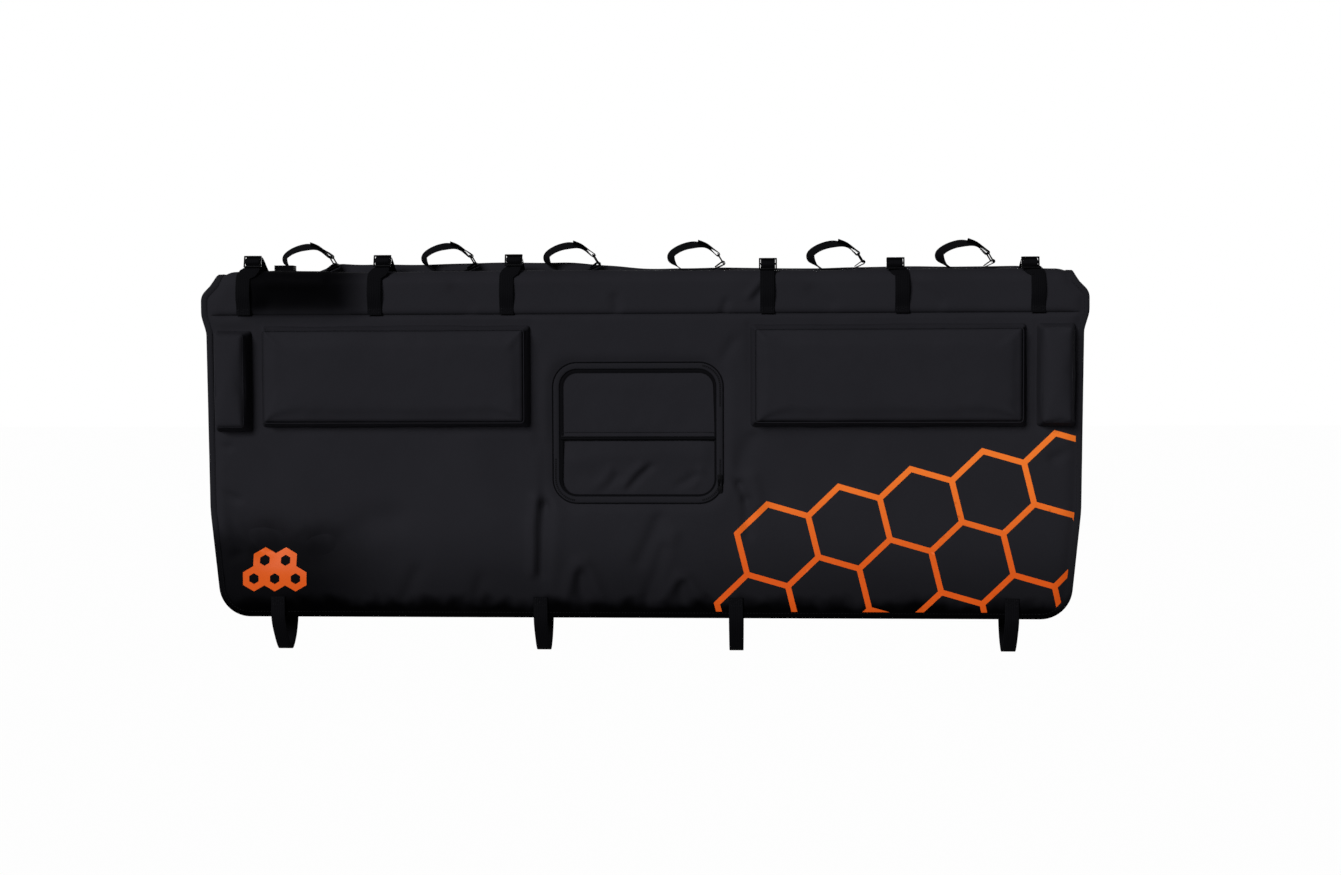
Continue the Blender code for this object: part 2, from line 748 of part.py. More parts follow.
def strap_ring(number, turn, middle):
    """A flat ring of wire with its two long sides across the loop."""
    across = WEB_WIDTH + RING_WIRE + 2 * SLIDE_GAP
    outline = oblong(0, 0, RING_HEIGHT, across, RING_CORNER)
    curve = bpy.data.curves.new("ring", "CURVE")
    curve.dimensions = "3D"
    curve.bevel_depth = RING_WIRE / 2
    curve.bevel_resolution = 1
    spline = curve.splines.new("POLY")
    spline.points.add(len(outline) - 1)
    for knot, point in zip(spline.points, outline):
        along = point.x
        place = (middle.x + along * math.cos(RING_TILT), middle.y + along * math.sin(RING_TILT))
        knot.co = (*place, point.y, 1)
    spline.use_cyclic_u = True
    obj = add_object("ring", curve, HELPERS)
    obj.matrix_world = turn
    shape = taken(obj)
    bmesh.ops.recalc_face_normals(shape, faces=shape.faces)
    finish(f"strap_ring_{number}", shape, plastic())


def cinch_loops():
    for number, x in enumerate(LOOP_PLACES, 1):
        cinch_loop(number, x)


def wrap_radius(bar):
    """Radius at which webbing turns round a slide's bar and clears its corners."""
    return math.hypot(bar / 2, BUCKLE_DEPTH / 2) + WEB_THICKNESS / 2 + LAYER_GAP * 0.6


def lower_strap(number, x):
    """Webbing from the foot of the front panel, under the tailgate, up to its slide."""
    seat_y = FACE_Y + WEB_SEAT
    edge_y = TAILGATE_GAP / 2 + TAPE_FACE + WEB_SEAT
    inner_y = TAILGATE_GAP / 2 + 2 * WEB_SEAT + TAPE_THICKNESS
    turn = wrap_radius(MIDDLE_BAR)
    buckle_y = edge_y + wrap_radius(OUTER_BAR) + FIT_GAP
    buckle_z = FLAP_FOOT_Z - BUCKLE_DROP
    depth = FOOT_Z - LOWER_STRAP_BOTTOM_Z
    hang = buckle_z - BUCKLE_HEIGHT
    arch = [(edge_y * back, FOOT_Z - depth * down) for back, down in LOWER_STRAP_ARCH]
    path = [
        (-seat_y, LOWER_STRAP_TOP_Z),
        (-seat_y, FOOT_Z + SEWN_MARGIN + CROWN_WIDTH),
        (-edge_y - LOWER_STRAP_FRONT_SLACK, FOOT_Z - depth * LOWER_STRAP_START),
        *arch,
        (inner_y, FOOT_Z),
        (inner_y, FOOT_Z * 3 / 4 + hang / 4),
        (inner_y, FOOT_Z / 4 + hang * 3 / 4),
        (buckle_y - turn, hang + BUCKLE_HEIGHT / 2),
        *arc((buckle_y, buckle_z), turn, 180, 0, 6),
        (buckle_y + turn, buckle_z - BUCKLE_HEIGHT / 2),
        (buckle_y + TAIL_LEAN * turn, buckle_z - LOWER_STRAP_TAIL),
    ]
    finish(f"lower_strap_{number}", ribbon(smooth(path), side_view(x)), webbing())
    buckle(f"lower_buckle_{number}", (x, buckle_y, buckle_z), 0)
    buckle_tab(number, x, (buckle_y, buckle_z + (BUCKLE_HEIGHT - OUTER_BAR) / 2))


def buckle_tab(number, x, bar):
    """The short doubled webbing that holds a slide's top bar to the foot of the back flap."""
    seat_y = FACE_Y + WEB_SEAT
    turn = wrap_radius(OUTER_BAR)
    crown_z = FLAP_FOOT_Z + SEWN_MARGIN + CROWN_WIDTH
    outer_y = seat_y + WEB_THICKNESS + LAYER_GAP
    path = [
        (seat_y, TAB_TOP_Z),
        (seat_y, crown_z),
        *arc(bar, turn, 180, 360, 6),
        (max(outer_y, bar[0] + turn), crown_z),
        (outer_y, TAB_TOP_Z - FIT_GAP),
    ]
    finish(f"buckle_tab_{number}", ribbon(smooth(path), side_view(x)), webbing())


def lower_straps():
    for number, x in enumerate(LOWER_STRAP_PLACES, 1):
        lower_strap(number, x)


def hexagon(centre, radius, tilt):
    """Outline of a hexagon, anticlockwise."""
    corners = []
    for corner in range(6):
        angle = tilt + math.pi / 3 * corner + math.pi / 6
        corners.append(centre + Vector((math.cos(angle), math.sin(angle))) * radius)
    return corners


def cell_centres(start, cell, tilt, cells):
    """Centres of honeycomb cells, given as (along, up) steps from a starting cell."""
    pitch = cell * math.sqrt(3)
    along = Vector((math.cos(tilt), math.sin(tilt))) * pitch
    up = Matrix.Rotation(math.pi / 3, 2) @ along
    return [Vector(start) + along * right + up * rise for right, rise in cells]


def honeycomb(centres, cell, line, tilt, hole):
    """A flat net of hexagons that share their sides, with a hole of this radius in each."""
    outer = cell + line / math.sqrt(3)
    shape = None
    for centre in centres:
        piece = plate([hexagon(centre, outer, tilt)], 0, FILM_THICKNESS)
        shape = combined(shape, piece, "UNION") if shape else piece
    for centre in centres:
        gap = plate([hexagon(centre, hole, tilt)], -FILM_THICKNESS, 2 * FILM_THICKNESS)
        shape = combined(shape, gap, "DIFFERENCE")
    return shape


def lay_film(name, shape):
    """Lays a film drawn in x and z on the face of the front panel."""
    stand_up(shape, -FACE_Y - FIT_GAP)
    finish(name, shape, film())


def strap_notch(x):
    """The room that a film leaves for a lower strap sewn through it."""
    width = WEB_WIDTH + 2 * FIT_GAP
    height = 2 * (LOWER_STRAP_TOP_Z + FIT_GAP - FOOT_Z)
    outline = oblong(x, FOOT_Z, width, height, 0)
    return plate([outline], -FILM_THICKNESS, 2 * FILM_THICKNESS)


def graphic_outline():
    """Large open cells that climb to the right and run off the panel's flat face."""
    rows = ((0, 0, 4), (-1, 0, 5), (-2, 2, 6))
    cells = [(along, up) for up, first, last in rows for along in range(first, last)]
    centres = cell_centres(FILM_START, FILM_CELL, FILM_TILT, cells)
    hole = FILM_CELL - FILM_LINE / math.sqrt(3)
    net = honeycomb(centres, FILM_CELL, FILM_LINE, FILM_TILT, hole)
    edge = [Vector((point.x, point.y - front_flat(0))) for point in pad_outline()]
    flat_face = grown(edge, -SEWN_MARGIN - CROWN_WIDTH)
    crop = plate([flat_face], -FILM_THICKNESS, 2 * FILM_THICKNESS)
    shape = combined(net, crop, "INTERSECT")
    for x in LOWER_STRAP_PLACES:
        shape = combined(shape, strap_notch(x), "DIFFERENCE")
    lay_film("graphic_outline", shape)


def graphic_badge():
    """Five small solid cells with a small hole in each."""
    centres = cell_centres(BADGE_START, BADGE_CELL, 0, [(0, 0), (1, 0), (2, 0), (0, 1), (1, 1)])
    shape = honeycomb(centres, BADGE_CELL, BADGE_JOIN, 0, BADGE_CELL * BADGE_CUT)
    lay_film("graphic_badge", shape)


clear_scene()
PAD = fresh_collection("tailgate_bike_pad")
HELPERS = fresh_collection("helpers", in_render=False)
front_panel()
top_band()
folded_tape("edge_binding", pad_outline(), 1)
folded_tape("window_binding", window_outline(), -1)
access_flaps()
zip_slider()
foam_blocks()
frame_straps()
cinch_loops()
lower_straps()
graphic_outline()
graphic_badge()
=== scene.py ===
"""Looks of the tailgate bike pad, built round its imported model. Metres, +Z up, front towards -Y.

The pad is drawn flat and folded over the tailgate. A flat point is (x, y, lift): y runs along the
inner face, negative towards the front, and lift is the height above that face.
"""

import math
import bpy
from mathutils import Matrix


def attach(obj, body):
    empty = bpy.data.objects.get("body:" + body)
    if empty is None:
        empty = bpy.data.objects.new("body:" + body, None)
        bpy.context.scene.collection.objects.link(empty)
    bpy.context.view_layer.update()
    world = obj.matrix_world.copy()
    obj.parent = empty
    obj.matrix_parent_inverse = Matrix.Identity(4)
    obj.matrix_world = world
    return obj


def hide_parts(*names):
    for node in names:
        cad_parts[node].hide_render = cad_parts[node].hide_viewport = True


bl_info = {
    "name": "Tailgate bike pad",
    "version": (1, 0, 0),
    "blender": (4, 5, 0),
    "location": "3D View > Sidebar > Bike Pad",
    "description": "Cloth, webbing, trim and film of a padded tailgate cover for carrying bicycles",
    "category": "Object",
}

import bmesh
import bpy
import numpy as np
from bpy.props import FloatProperty, FloatVectorProperty, PointerProperty
from mathutils import Matrix, Vector, noise
from mathutils.bvhtree import BVHTree
from mathutils.geometry import interpolate_bezier

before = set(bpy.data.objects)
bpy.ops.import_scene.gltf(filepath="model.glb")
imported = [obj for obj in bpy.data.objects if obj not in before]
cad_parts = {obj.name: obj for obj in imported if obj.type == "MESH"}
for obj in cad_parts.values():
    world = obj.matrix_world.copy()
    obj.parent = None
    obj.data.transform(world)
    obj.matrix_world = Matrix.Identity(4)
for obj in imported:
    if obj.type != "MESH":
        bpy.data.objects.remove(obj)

# Clearances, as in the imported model
FIT_GAP = 0.0003
SLIDE_GAP = 0.0007
LAYER_GAP = 0.0006

# The pad and its fold
TAILGATE_GAP = 0.080
PAD_THICKNESS = 0.012
SEWN_THICKNESS = 0.005
FOLD_RADIUS = 0.012
LINING_STEP = 0.003
SEAM_LAP = 0.0006
SEAM_GROOVE = 0.0052
SEAM_GROOVE_WIDTH = 0.0035
HUMP_HEIGHT = 0.0165
HUMP_WIDTH = 0.009
HUMP_Y = 0.030

# Heights on the front and on the back flap
SHOULDER_Z = -0.030
SEAM_Z = -0.065
FLARE_DROP = 0.030
HIP_Z = -0.410
FOOT_Z = -0.598
FLAP_FOOT_Z = -0.240

# Half width at the band, how far in the outline is elsewhere, and its corner radii
BAND_HALF_WIDTH = 0.777
CREST_INSET = 0.027
PANEL_INSET = 0.009
HIP_INSET = 0.012
FOOT_INSET = 0.031
FLAP_INSET = 0.035
FOOT_RADIUS = 0.055
HIP_RADIUS = 0.150
BAND_RADIUS = 0.040
CREST_RADIUS = 0.024
FLAP_RADIUS = 0.040

# Tape folded round the cut edges
TAPE_THICKNESS = 0.0013
TAPE_WIDTH = 0.010
SEWN_MARGIN = TAPE_WIDTH + 0.001
STITCH_LENGTH = 0.0036
STITCH_WIDTH = 0.0009
STITCH_HEIGHT = 0.0007
BOX_STITCH_HALF = 0.0098
ZIP_TAPE_LEAST = 0.0048
# Extra width of the zip's dark tape at the top and on the left, which is painted shadow
ZIP_SHADOW_SPREAD = 0.0032
ZIP_LINE = 0.0055
TOOTH_SIZE = (0.0012, 0.0030)

# Window in the front panel, with its two flaps and its zip
WINDOW_X = -0.0046
WINDOW_Z = -0.273
WINDOW_WIDTH = 0.278
WINDOW_HEIGHT = 0.226
WINDOW_RADIUS = 0.032
SLIT_Z = -0.280
FLAP_OVERLAP = 0.016
FLAP_LIFT = 0.0006
FLAP_CLOTH = 0.0018
FLAP_STEP = 0.0035
FLAP_SNAP = 0.0018
FLAP_TRIM = 0.002
SLIT_HALF = WINDOW_WIDTH / 2 - 0.004
SLIDER_Z = -0.353

# Raised foam blocks
BLOCK_THICKNESS = 0.032
BLOCK_HEIGHT = 0.160
BLOCK_Z = -0.173
BLOCK_DRAFT = 0.009
LONG_BLOCK_WIDTH = 0.458
END_BLOCK_WIDTH = 0.047
END_BLOCK_INSET = 0.057
BLOCK_GAP = 0.0185
LEFT_BLOCK_DROP = 0.007

# Webbing and the three-bar slides on it
WEB_WIDTH = 0.025
WEB_THICKNESS = 0.0016
BUCKLE_DEPTH = 0.0035
OUTER_BAR = 0.0025
MIDDLE_BAR = 0.003
SIDE_RAIL = 0.0025
SLOT_PLAY = 0.0033
SLOT_BEND = 0.42
BAR_CLEARANCE = 1.05

# Frame straps
STRAP_GROUPS_X = (-0.467, 0.456)
STRAP_PITCH = 0.2335
FIRST_STRAP_BOW = 0.0022
STRAP_BOW = 0.0006
FRAME_STRAP_LEANS = (0.016, 0.0135, 0.012, 0.001, -0.0115, -0.013)
FRAME_STRAP_SEWN = 0.0115
FRAME_STRAP_BULGE = 0.005
FRAME_STRAP_TAIL = 0.075
SLACK_RISE = 0.030
SNUG_RISE = 0.021
BUCKLE_TILT = math.radians(15)
BUCKLE_STEP_BACK = 0.006
BUCKLE_BELOW_TOP = 0.57
FRAME_STRAP_ARCH = ((-0.40, 0.80), (0.15, 0.25))
FRAME_STRAP_BACK_SLACK = 0.002

# Cinch loops and their rings
LOOP_PLACES = (-0.592, -0.341, -0.122, 0.099, 0.345, 0.571)
LOOP_LENGTH = 0.094
LOOP_HEIGHT = 0.0455
LOOP_BASE = 0.052
LOOP_TIP = 0.013
LAST_STITCH = 0.001
RING_WIRE = 0.0026
RING_HEIGHT = 0.018
RING_TILT = math.radians(121)
RING_CORNER = 0.003
RING_CLEARANCE = 1.4 * LAYER_GAP
LOOP_TAB = (0.60, 0.30)
LOOP_FOOT = ((-0.80, 0.22), (-1.00, 0.53))
LOOP_ARCH = ((-0.86, 0.74), (-0.45, 0.94), (0, 1), (0.36, 0.91))
LOOP_FOLD_BACK = 1.2
LOOP_TWIST = math.radians(32)

# Folded end of webbing sewn down beside the first loop
KEEPER_X = -0.638
KEEPER_LENGTH = 0.034
KEEPER_LAYERS = 6
KEEPER_PITCH = 0.0021

# Lower straps
LOWER_STRAP_PLACES = (-0.645, -0.177, 0.167, 0.647)
LOWER_STRAP_TOP_Z = -0.562
LOWER_STRAP_BOTTOM_Z = -0.663
LOWER_STRAP_TAIL = 0.070
BUCKLE_DROP = 0.022
TAIL_LEAN = 0.6
TAB_TOP_Z = -0.195
LOWER_STRAP_ARCH = ((-0.62, 0.60), (-0.14, 0.96), (0.14, 0.96), (0.62, 0.60))
LOWER_STRAP_FRONT_SLACK = 0.002
LOWER_STRAP_START = 0.10

# Orange film
FILM_LINE = 0.010
FILM_TILT = math.radians(14)
FILM_CELL = 0.074
FILM_START = (0.240, -0.470)
BADGE_CELL = 0.0215
BADGE_START = (-0.688, -0.531)
BADGE_CUT = 0.45
BADGE_JOIN = 0.002
FILM_THICKNESS = 0.0004
FILM_SKIN = 0.00025
FILM_CLEAR = 0.00035
FILM_STEP = 0.006
BADGE_STEP = 0.005

# Worked out from the sizes above
TOP_FLAT = TAILGATE_GAP / 2 - FOLD_RADIUS
FOLD_LENGTH = FOLD_RADIUS * math.pi / 2
FACE_Y = TAILGATE_GAP / 2 + PAD_THICKNESS
EDGE_LIFT = TAPE_THICKNESS + 2 * FIT_GAP
EDGE_TOP = EDGE_LIFT + SEWN_THICKNESS
TAPE_FACE = EDGE_TOP + FIT_GAP + TAPE_THICKNESS
SLOT = 2 * WEB_THICKNESS + SLOT_PLAY
BUCKLE_HEIGHT = MIDDLE_BAR + 2 * SLOT + 2 * OUTER_BAR
BUCKLE_WIDTH = WEB_WIDTH + 2 * SLIDE_GAP + 2 * SIDE_RAIL
WEB_SEAT = FIT_GAP + WEB_THICKNESS / 2
END_BLOCK_X = BAND_HALF_WIDTH - END_BLOCK_INSET
BLOCK_SPACE = (END_BLOCK_WIDTH + LONG_BLOCK_WIDTH) / 2 + 2 * BLOCK_DRAFT + BLOCK_GAP
LONG_BLOCK_X = END_BLOCK_X - BLOCK_SPACE

# Direction of the sun, and the camera that took the photograph
SUN_FROM = (-1.2, -2.5, 1.25)
SUN_ANGLE = 24
CAMERA_PLACE = (0.222, -3.338, -0.133)
CAMERA_TURN = (("Z", 2.943), ("X", 90 - 2.576), ("Z", -0.19))
CAMERA_LENS = 50.56
CAMERA_SENSOR = 36

# Soft dents and ridges in the front cloth: from x, z to x, z, half width, height
CREASES = (
    (-0.163, -0.295, -0.166, -0.400, 0.010, -0.0028),
    (-0.166, -0.400, -0.172, -0.520, 0.010, -0.0040),
    (-0.181, -0.390, -0.187, -0.520, 0.010, 0.0034),
    (-0.146, -0.400, -0.153, -0.560, 0.013, 0.0016),
    (0.150, -0.347, 0.172, -0.362, 0.006, -0.0028),
    (0.172, -0.362, 0.186, -0.392, 0.007, -0.0030),
    (0.186, -0.392, 0.191, -0.450, 0.009, -0.0022),
    (0.196, -0.352, 0.209, -0.400, 0.011, 0.0018),
    (-0.110, -0.500, -0.137, -0.570, 0.011, 0.0034),
    (-0.096, -0.500, -0.066, -0.570, 0.011, 0.0026),
    (-0.105, -0.525, -0.104, -0.580, 0.012, -0.0040),
    (0.066, -0.528, 0.034, -0.575, 0.011, 0.0032),
    (0.080, -0.528, 0.112, -0.575, 0.011, 0.0026),
    (0.072, -0.545, 0.073, -0.585, 0.012, -0.0038),
    (0.037, -0.417, -0.002, -0.500, 0.013, -0.0026),
    (0.043, -0.478, 0.006, -0.585, 0.012, -0.0030),
    (0.058, -0.450, 0.028, -0.545, 0.012, 0.0020),
    (-0.765, -0.418, -0.667, -0.462, 0.030, -0.0048),
    (-0.667, -0.462, -0.569, -0.472, 0.032, -0.0050),
    (-0.569, -0.472, -0.444, -0.428, 0.030, -0.0036),
    (-0.768, -0.292, -0.728, -0.302, 0.006, -0.0024),
    (-0.768, -0.368, -0.716, -0.388, 0.008, -0.0028),
    (-0.766, -0.338, -0.742, -0.335, 0.007, 0.0016),
    (-0.745, -0.500, -0.716, -0.490, 0.009, -0.0024),
    (0.752, -0.300, 0.716, -0.318, 0.009, -0.0020),
    (0.205, -0.250, 0.176, -0.330, 0.016, -0.0018),
    (-0.182, -0.135, -0.176, -0.290, 0.014, -0.0016),
    (-0.300, -0.290, -0.255, -0.420, 0.030, 0.0016),
    (0.165, -0.110, 0.150, -0.145, 0.010, -0.0016),
    (-0.420, -0.575, -0.395, -0.520, 0.014, -0.0022),
    (-0.300, -0.580, -0.284, -0.535, 0.013, -0.0022),
)

# The same in the window's lower flap
FLAP_CREASES = (
    (-0.125, -0.316, 0.115, -0.310, 0.020, 0.0036),
    (-0.028, -0.368, 0.002, -0.334, 0.008, 0.0040),
    (-0.020, -0.374, 0.018, -0.334, 0.007, -0.0044),
    (-0.085, -0.372, -0.055, -0.342, 0.009, 0.0026),
    (-0.066, -0.376, -0.040, -0.352, 0.007, -0.0024),
    (0.066, -0.366, 0.096, -0.350, 0.008, -0.0034),
    (0.090, -0.372, 0.104, -0.340, 0.008, 0.0020),
    (-0.124, -0.330, -0.108, -0.372, 0.010, -0.0020),
)

# The same in the band over the crest
BAND_CREASES = (
    (0.152, -0.040, 0.140, -0.062, 0.006, -0.0022),
    (0.232, 0.000, 0.202, -0.040, 0.007, -0.0026),
    (0.215, -0.005, 0.190, -0.035, 0.006, 0.0018),
    (-0.045, -0.034, -0.040, -0.052, 0.008, -0.0020),
    (-0.655, -0.040, -0.540, -0.044, 0.022, -0.0052),
    (-0.650, -0.006, -0.560, -0.004, 0.010, 0.0030),
    (-0.690, -0.058, -0.660, -0.045, 0.010, -0.0016),
    (0.480, -0.018, 0.520, -0.048, 0.012, -0.0018),
    (-0.300, -0.050, -0.330, -0.025, 0.012, -0.0016),
    (0.330, -0.050, 0.300, -0.030, 0.012, -0.0016),
)


class PadCloth(bpy.types.PropertyGroup):
    """Sizes and colour of the padded cover."""

    mesh_step: FloatProperty(
        name="Mesh step", description="Spacing of the cover's faces",
        default=0.005, min=0.003, max=0.02, unit="LENGTH",
    )
    crown: FloatProperty(
        name="Crown", description="Width over which the padding rises from its sewn edge",
        default=0.019, min=0.006, max=0.05, unit="LENGTH",
    )
    crease_depth: FloatProperty(
        name="Crease depth", description="How deep the creases are, as a share",
        default=2.0, min=0, max=3, subtype="FACTOR",
    )
    puff: FloatProperty(
        name="Puff", description="How far the foam blocks may swell",
        default=0.003, min=0, max=0.008, unit="LENGTH",
    )
    colour: FloatVectorProperty(
        name="Cloth", description="Colour of the coated cloth",
        default=(0.0148, 0.0146, 0.0178), min=0, max=1, size=3, subtype="COLOR",
    )


class PadTrim(bpy.types.PropertyGroup):
    """Sizes and colours of the tape, webbing, slides and film."""

    stitch_pitch: FloatProperty(
        name="Stitch pitch", description="Distance from one stitch to the next",
        default=0.0055, min=0.003, max=0.02, unit="LENGTH",
    )
    tooth_pitch: FloatProperty(
        name="Tooth pitch", description="Distance from one zip tooth to the next",
        default=0.0034, min=0.001, max=0.01, unit="LENGTH",
    )
    tape_colour: FloatVectorProperty(
        name="Tape", description="Colour of the binding tape",
        default=(0.0128, 0.0127, 0.0154), min=0, max=1, size=3, subtype="COLOR",
    )
    webbing_colour: FloatVectorProperty(
        name="Webbing", description="Colour of the straps",
        default=(0.0030, 0.0030, 0.0036), min=0, max=1, size=3, subtype="COLOR",
    )
    plastic_colour: FloatVectorProperty(
        name="Plastic", description="Colour of the slides, rings and zip",
        default=(0.0030, 0.0030, 0.0035), min=0, max=1, size=3, subtype="COLOR",
    )
    film_colour: FloatVectorProperty(
        name="Film", description="Colour of the transfer film",
        default=(0.76, 0.132, 0.013), min=0, max=1, size=3, subtype="COLOR",
    )


class PadStage(bpy.types.PropertyGroup):
    """Floor and lamps."""

    floor_z: FloatProperty(
        name="Floor height", description="Height of the floor under the hanging pad",
        default=-2.6, min=-3, max=-0.7, unit="LENGTH",
    )
    sun_strength: FloatProperty(
        name="Sun strength", description="Strength of the soft sun above the front, on the left",
        default=3.4, min=0, max=20,
    )
    lamp_power: FloatProperty(
        name="Lamp power", description="Power that the lamps in front and behind are shares of",
        default=76, min=0, max=1000, unit="POWER",
    )


class Field:
    """A shader socket that takes part in sums and products as a number does."""

    def __init__(self, finish, socket):
        self.finish = finish
        self.socket = socket

    def math(self, operation, *values):
        node = self.finish.node("ShaderNodeMath", {"operation": operation}, dict(enumerate(values)))
        return Field(self.finish, node.outputs[0])

    def __add__(self, other):
        return self.math("ADD", self, other)

    def __sub__(self, other):
        return self.math("SUBTRACT", self, other)

    def __rsub__(self, other):
        return self.math("SUBTRACT", other, self)

    def __mul__(self, other):
        return self.math("MULTIPLY", self, other)

    __radd__ = __add__
    __rmul__ = __mul__

    def wave(self, length):
        """A wave from -1 to 1 that repeats after a length."""
        return self.math("SINE", self * (2 * math.pi / length))

    def within(self, low, high):
        """0 below low, 1 above high and a smooth change between."""
        sockets = {"Value": self, "From Min": low, "From Max": high}
        node = self.finish.node("ShaderNodeMapRange", {"interpolation_type": "SMOOTHSTEP"}, sockets)
        return Field(self.finish, node.outputs["Result"])


class Finish:
    """A material of the pad, made of nodes round its Principled BSDF."""

    def __init__(self, name, roughness, specular):
        self.material = bpy.data.materials.new(name)
        self.material.use_nodes = True
        self.tree = self.material.node_tree
        self.surface = self.tree.nodes["Principled BSDF"]
        self.surface.inputs["Roughness"].default_value = roughness
        self.surface.inputs["Specular IOR Level"].default_value = specular

    def node(self, kind, settings, sockets):
        """Any node: its type, its settings, then the values or links of its sockets."""
        made = self.tree.nodes.new(kind)
        for setting, value in settings.items():
            setattr(made, setting, value)
        for socket, value in sockets.items():
            if isinstance(value, Field):
                self.tree.links.new(value.socket, made.inputs[socket])
            else:
                made.inputs[socket].default_value = value
        return made

    def field(self, kind, settings, sockets, output=0):
        return Field(self, self.node(kind, settings, sockets).outputs[output])

    def place(self):
        """x, y and z on the object."""
        where = self.field("ShaderNodeTexCoord", {}, {}, "Object")
        parts = self.node("ShaderNodeSeparateXYZ", {}, {0: where})
        return [Field(self, parts.outputs[axis]) for axis in range(3)]

    def along(self):
        """Distance across and along a strip, from its own map."""
        where = self.field("ShaderNodeUVMap", {"uv_map": "strip"}, {})
        parts = self.node("ShaderNodeSeparateXYZ", {}, {0: where})
        return [Field(self, parts.outputs[axis]) for axis in range(2)]

    def grain(self, scale, detail=2.0):
        """Noise on the object, from 0 to 1, with this many grains to the metre."""
        where = self.field("ShaderNodeTexCoord", {}, {}, "Object")
        sockets = {"Vector": where, "Scale": scale, "Detail": detail, "Roughness": 0.55}
        return self.field("ShaderNodeTexNoise", {}, sockets, "Fac")

    def painted_low_shade(self):
        """Painted shade, as the share of colour kept: 1 high up, less low on the panel and at its left
        corner, 0.1 where the foot rolls under.
        """
        x, y, z = self.place()
        # Painted shade: the rolled foot, the left corner and the lower panel are darkened in the colour.
        wavy = z + (self.grain(28, 1.0) - 0.5) * 0.036
        rolled = 1 - 0.9 * (1 - wavy.within(FOOT_Z + 0.014, FOOT_Z + 0.044))
        corner = (1 - x.within(-0.60, -0.40)) * (1 - wavy.within(-0.485, -0.415))
        return rolled * (1 - 0.66 * corner) * (0.5 + 0.5 * z.within(FOOT_Z, FOOT_Z + 0.18))

    def blend(self, share, first, second):
        """From one colour to another."""
        sockets = {0: share, 6: (*first, 1), 7: (*second, 1)}
        return self.field("ShaderNodeMix", {"data_type": "RGBA"}, sockets, 2)

    def feed(self, socket, value):
        self.tree.links.new(value.socket, self.surface.inputs[socket])

    def bump(self, height, depth, strength):
        sockets = {"Height": height, "Distance": depth, "Strength": strength}
        self.feed("Normal", self.field("ShaderNodeBump", {}, sockets, "Normal"))


def shade(colour, share):
    """A colour made lighter or darker by a share."""
    return tuple(channel * share for channel in colour)


def cloth_finish(name, colour):
    """Coated plain weave with a soft sheen that is a little uneven, and painted shade at the band's left
    and low on the panel.
    """
    finish = Finish(name, 0.5, 0.002)
    x, y, z = finish.place()
    weave = x.wave(0.0011) * (y + z).wave(0.0011)
    slub = finish.grain(900)
    cloud = finish.grain(9, 4.0)
    # Painted shade: the band between the first two frame straps is darker, and so is the lower panel.
    band_shade = x.within(-0.715, -0.690) * (1 - x.within(-0.54, -0.45)) * z.within(-0.085, -0.045)
    painted_shade = (1 - 0.88 * band_shade * (1 - y.within(-0.04, 0.0))) * finish.painted_low_shade()
    even = 0.42 + (cloud - 0.5) * 0.10 + (slub - 0.5) * 0.10
    finish.feed("Base Color", finish.blend(even * painted_shade, (0, 0, 0), shade(colour, 2.4)))
    finish.feed("Roughness", 0.42 + cloud * 0.1 + slub * 0.06)
    finish.bump(weave * 0.35 + slub * 0.65, 0.00007, 0.5)
    return finish.material


def tape_finish(name, colour):
    """Ribbed binding tape, with painted shade low on the panel and where the foot rolls under."""
    finish = Finish(name, 0.6, 0.002)
    across, along = finish.along()
    rib = along.wave(0.0012) * 0.6 + across.wave(0.0016) * 0.4
    fibre = finish.grain(1500)
    # Painted shade: the tape darkens low on the panel and at the rolled foot.
    weave = (0.4 + (fibre - 0.5) * 0.3 + rib * 0.05) * finish.painted_low_shade()
    finish.feed("Base Color", finish.blend(weave, (0, 0, 0), shade(colour, 2.5)))
    finish.feed("Roughness", 0.52 + fibre * 0.16)
    finish.bump(rib * 0.5 + fibre * 0.5, 0.00012, 0.6)
    return finish.material


def webbing_finish(name, colour):
    """Woven webbing: wales along it and picks across them."""
    finish = Finish(name, 0.6, 0.002)
    across, along = finish.along()
    wale = across.wave(0.0031)
    pick = (along + wale * 0.0004).wave(0.0017)
    fibre = finish.grain(1700)
    weave = wale * 0.5 + pick * 0.5
    share = weave * 0.3 + fibre * 0.4 + 0.3
    finish.feed("Base Color", finish.blend(share, shade(colour, 0.5), shade(colour, 1.9)))
    finish.feed("Roughness", 0.5 + fibre * 0.2)
    finish.bump(weave * 0.7 + fibre * 0.3, 0.0002, 0.7)
    return finish.material


def plastic_finish(name, colour):
    """Moulded plastic with a fine grain and slightly worn high spots."""
    finish = Finish(name, 0.4, 0.015)
    pits = finish.grain(2600)
    wear = finish.grain(160, 3.0).within(0.5, 0.7)
    share = wear * 0.6 + pits * 0.2
    finish.feed("Base Color", finish.blend(share, shade(colour, 0.85), shade(colour, 1.8)))
    finish.feed("Roughness", 0.34 + pits * 0.12 + wear * 0.06)
    finish.bump(pits, 0.00005, 0.5)
    return finish.material


def thread_finish(name, colour):
    """Twisted sewing thread."""
    finish = Finish(name, 0.45, 0.02)
    x, y, z = finish.place()
    twist = (x + y + z).wave(0.0006)
    finish.feed("Base Color", finish.blend(twist * 0.5 + 0.5, shade(colour, 0.3), shade(colour, 0.9)))
    finish.bump(twist, 0.0001, 0.6)
    return finish.material


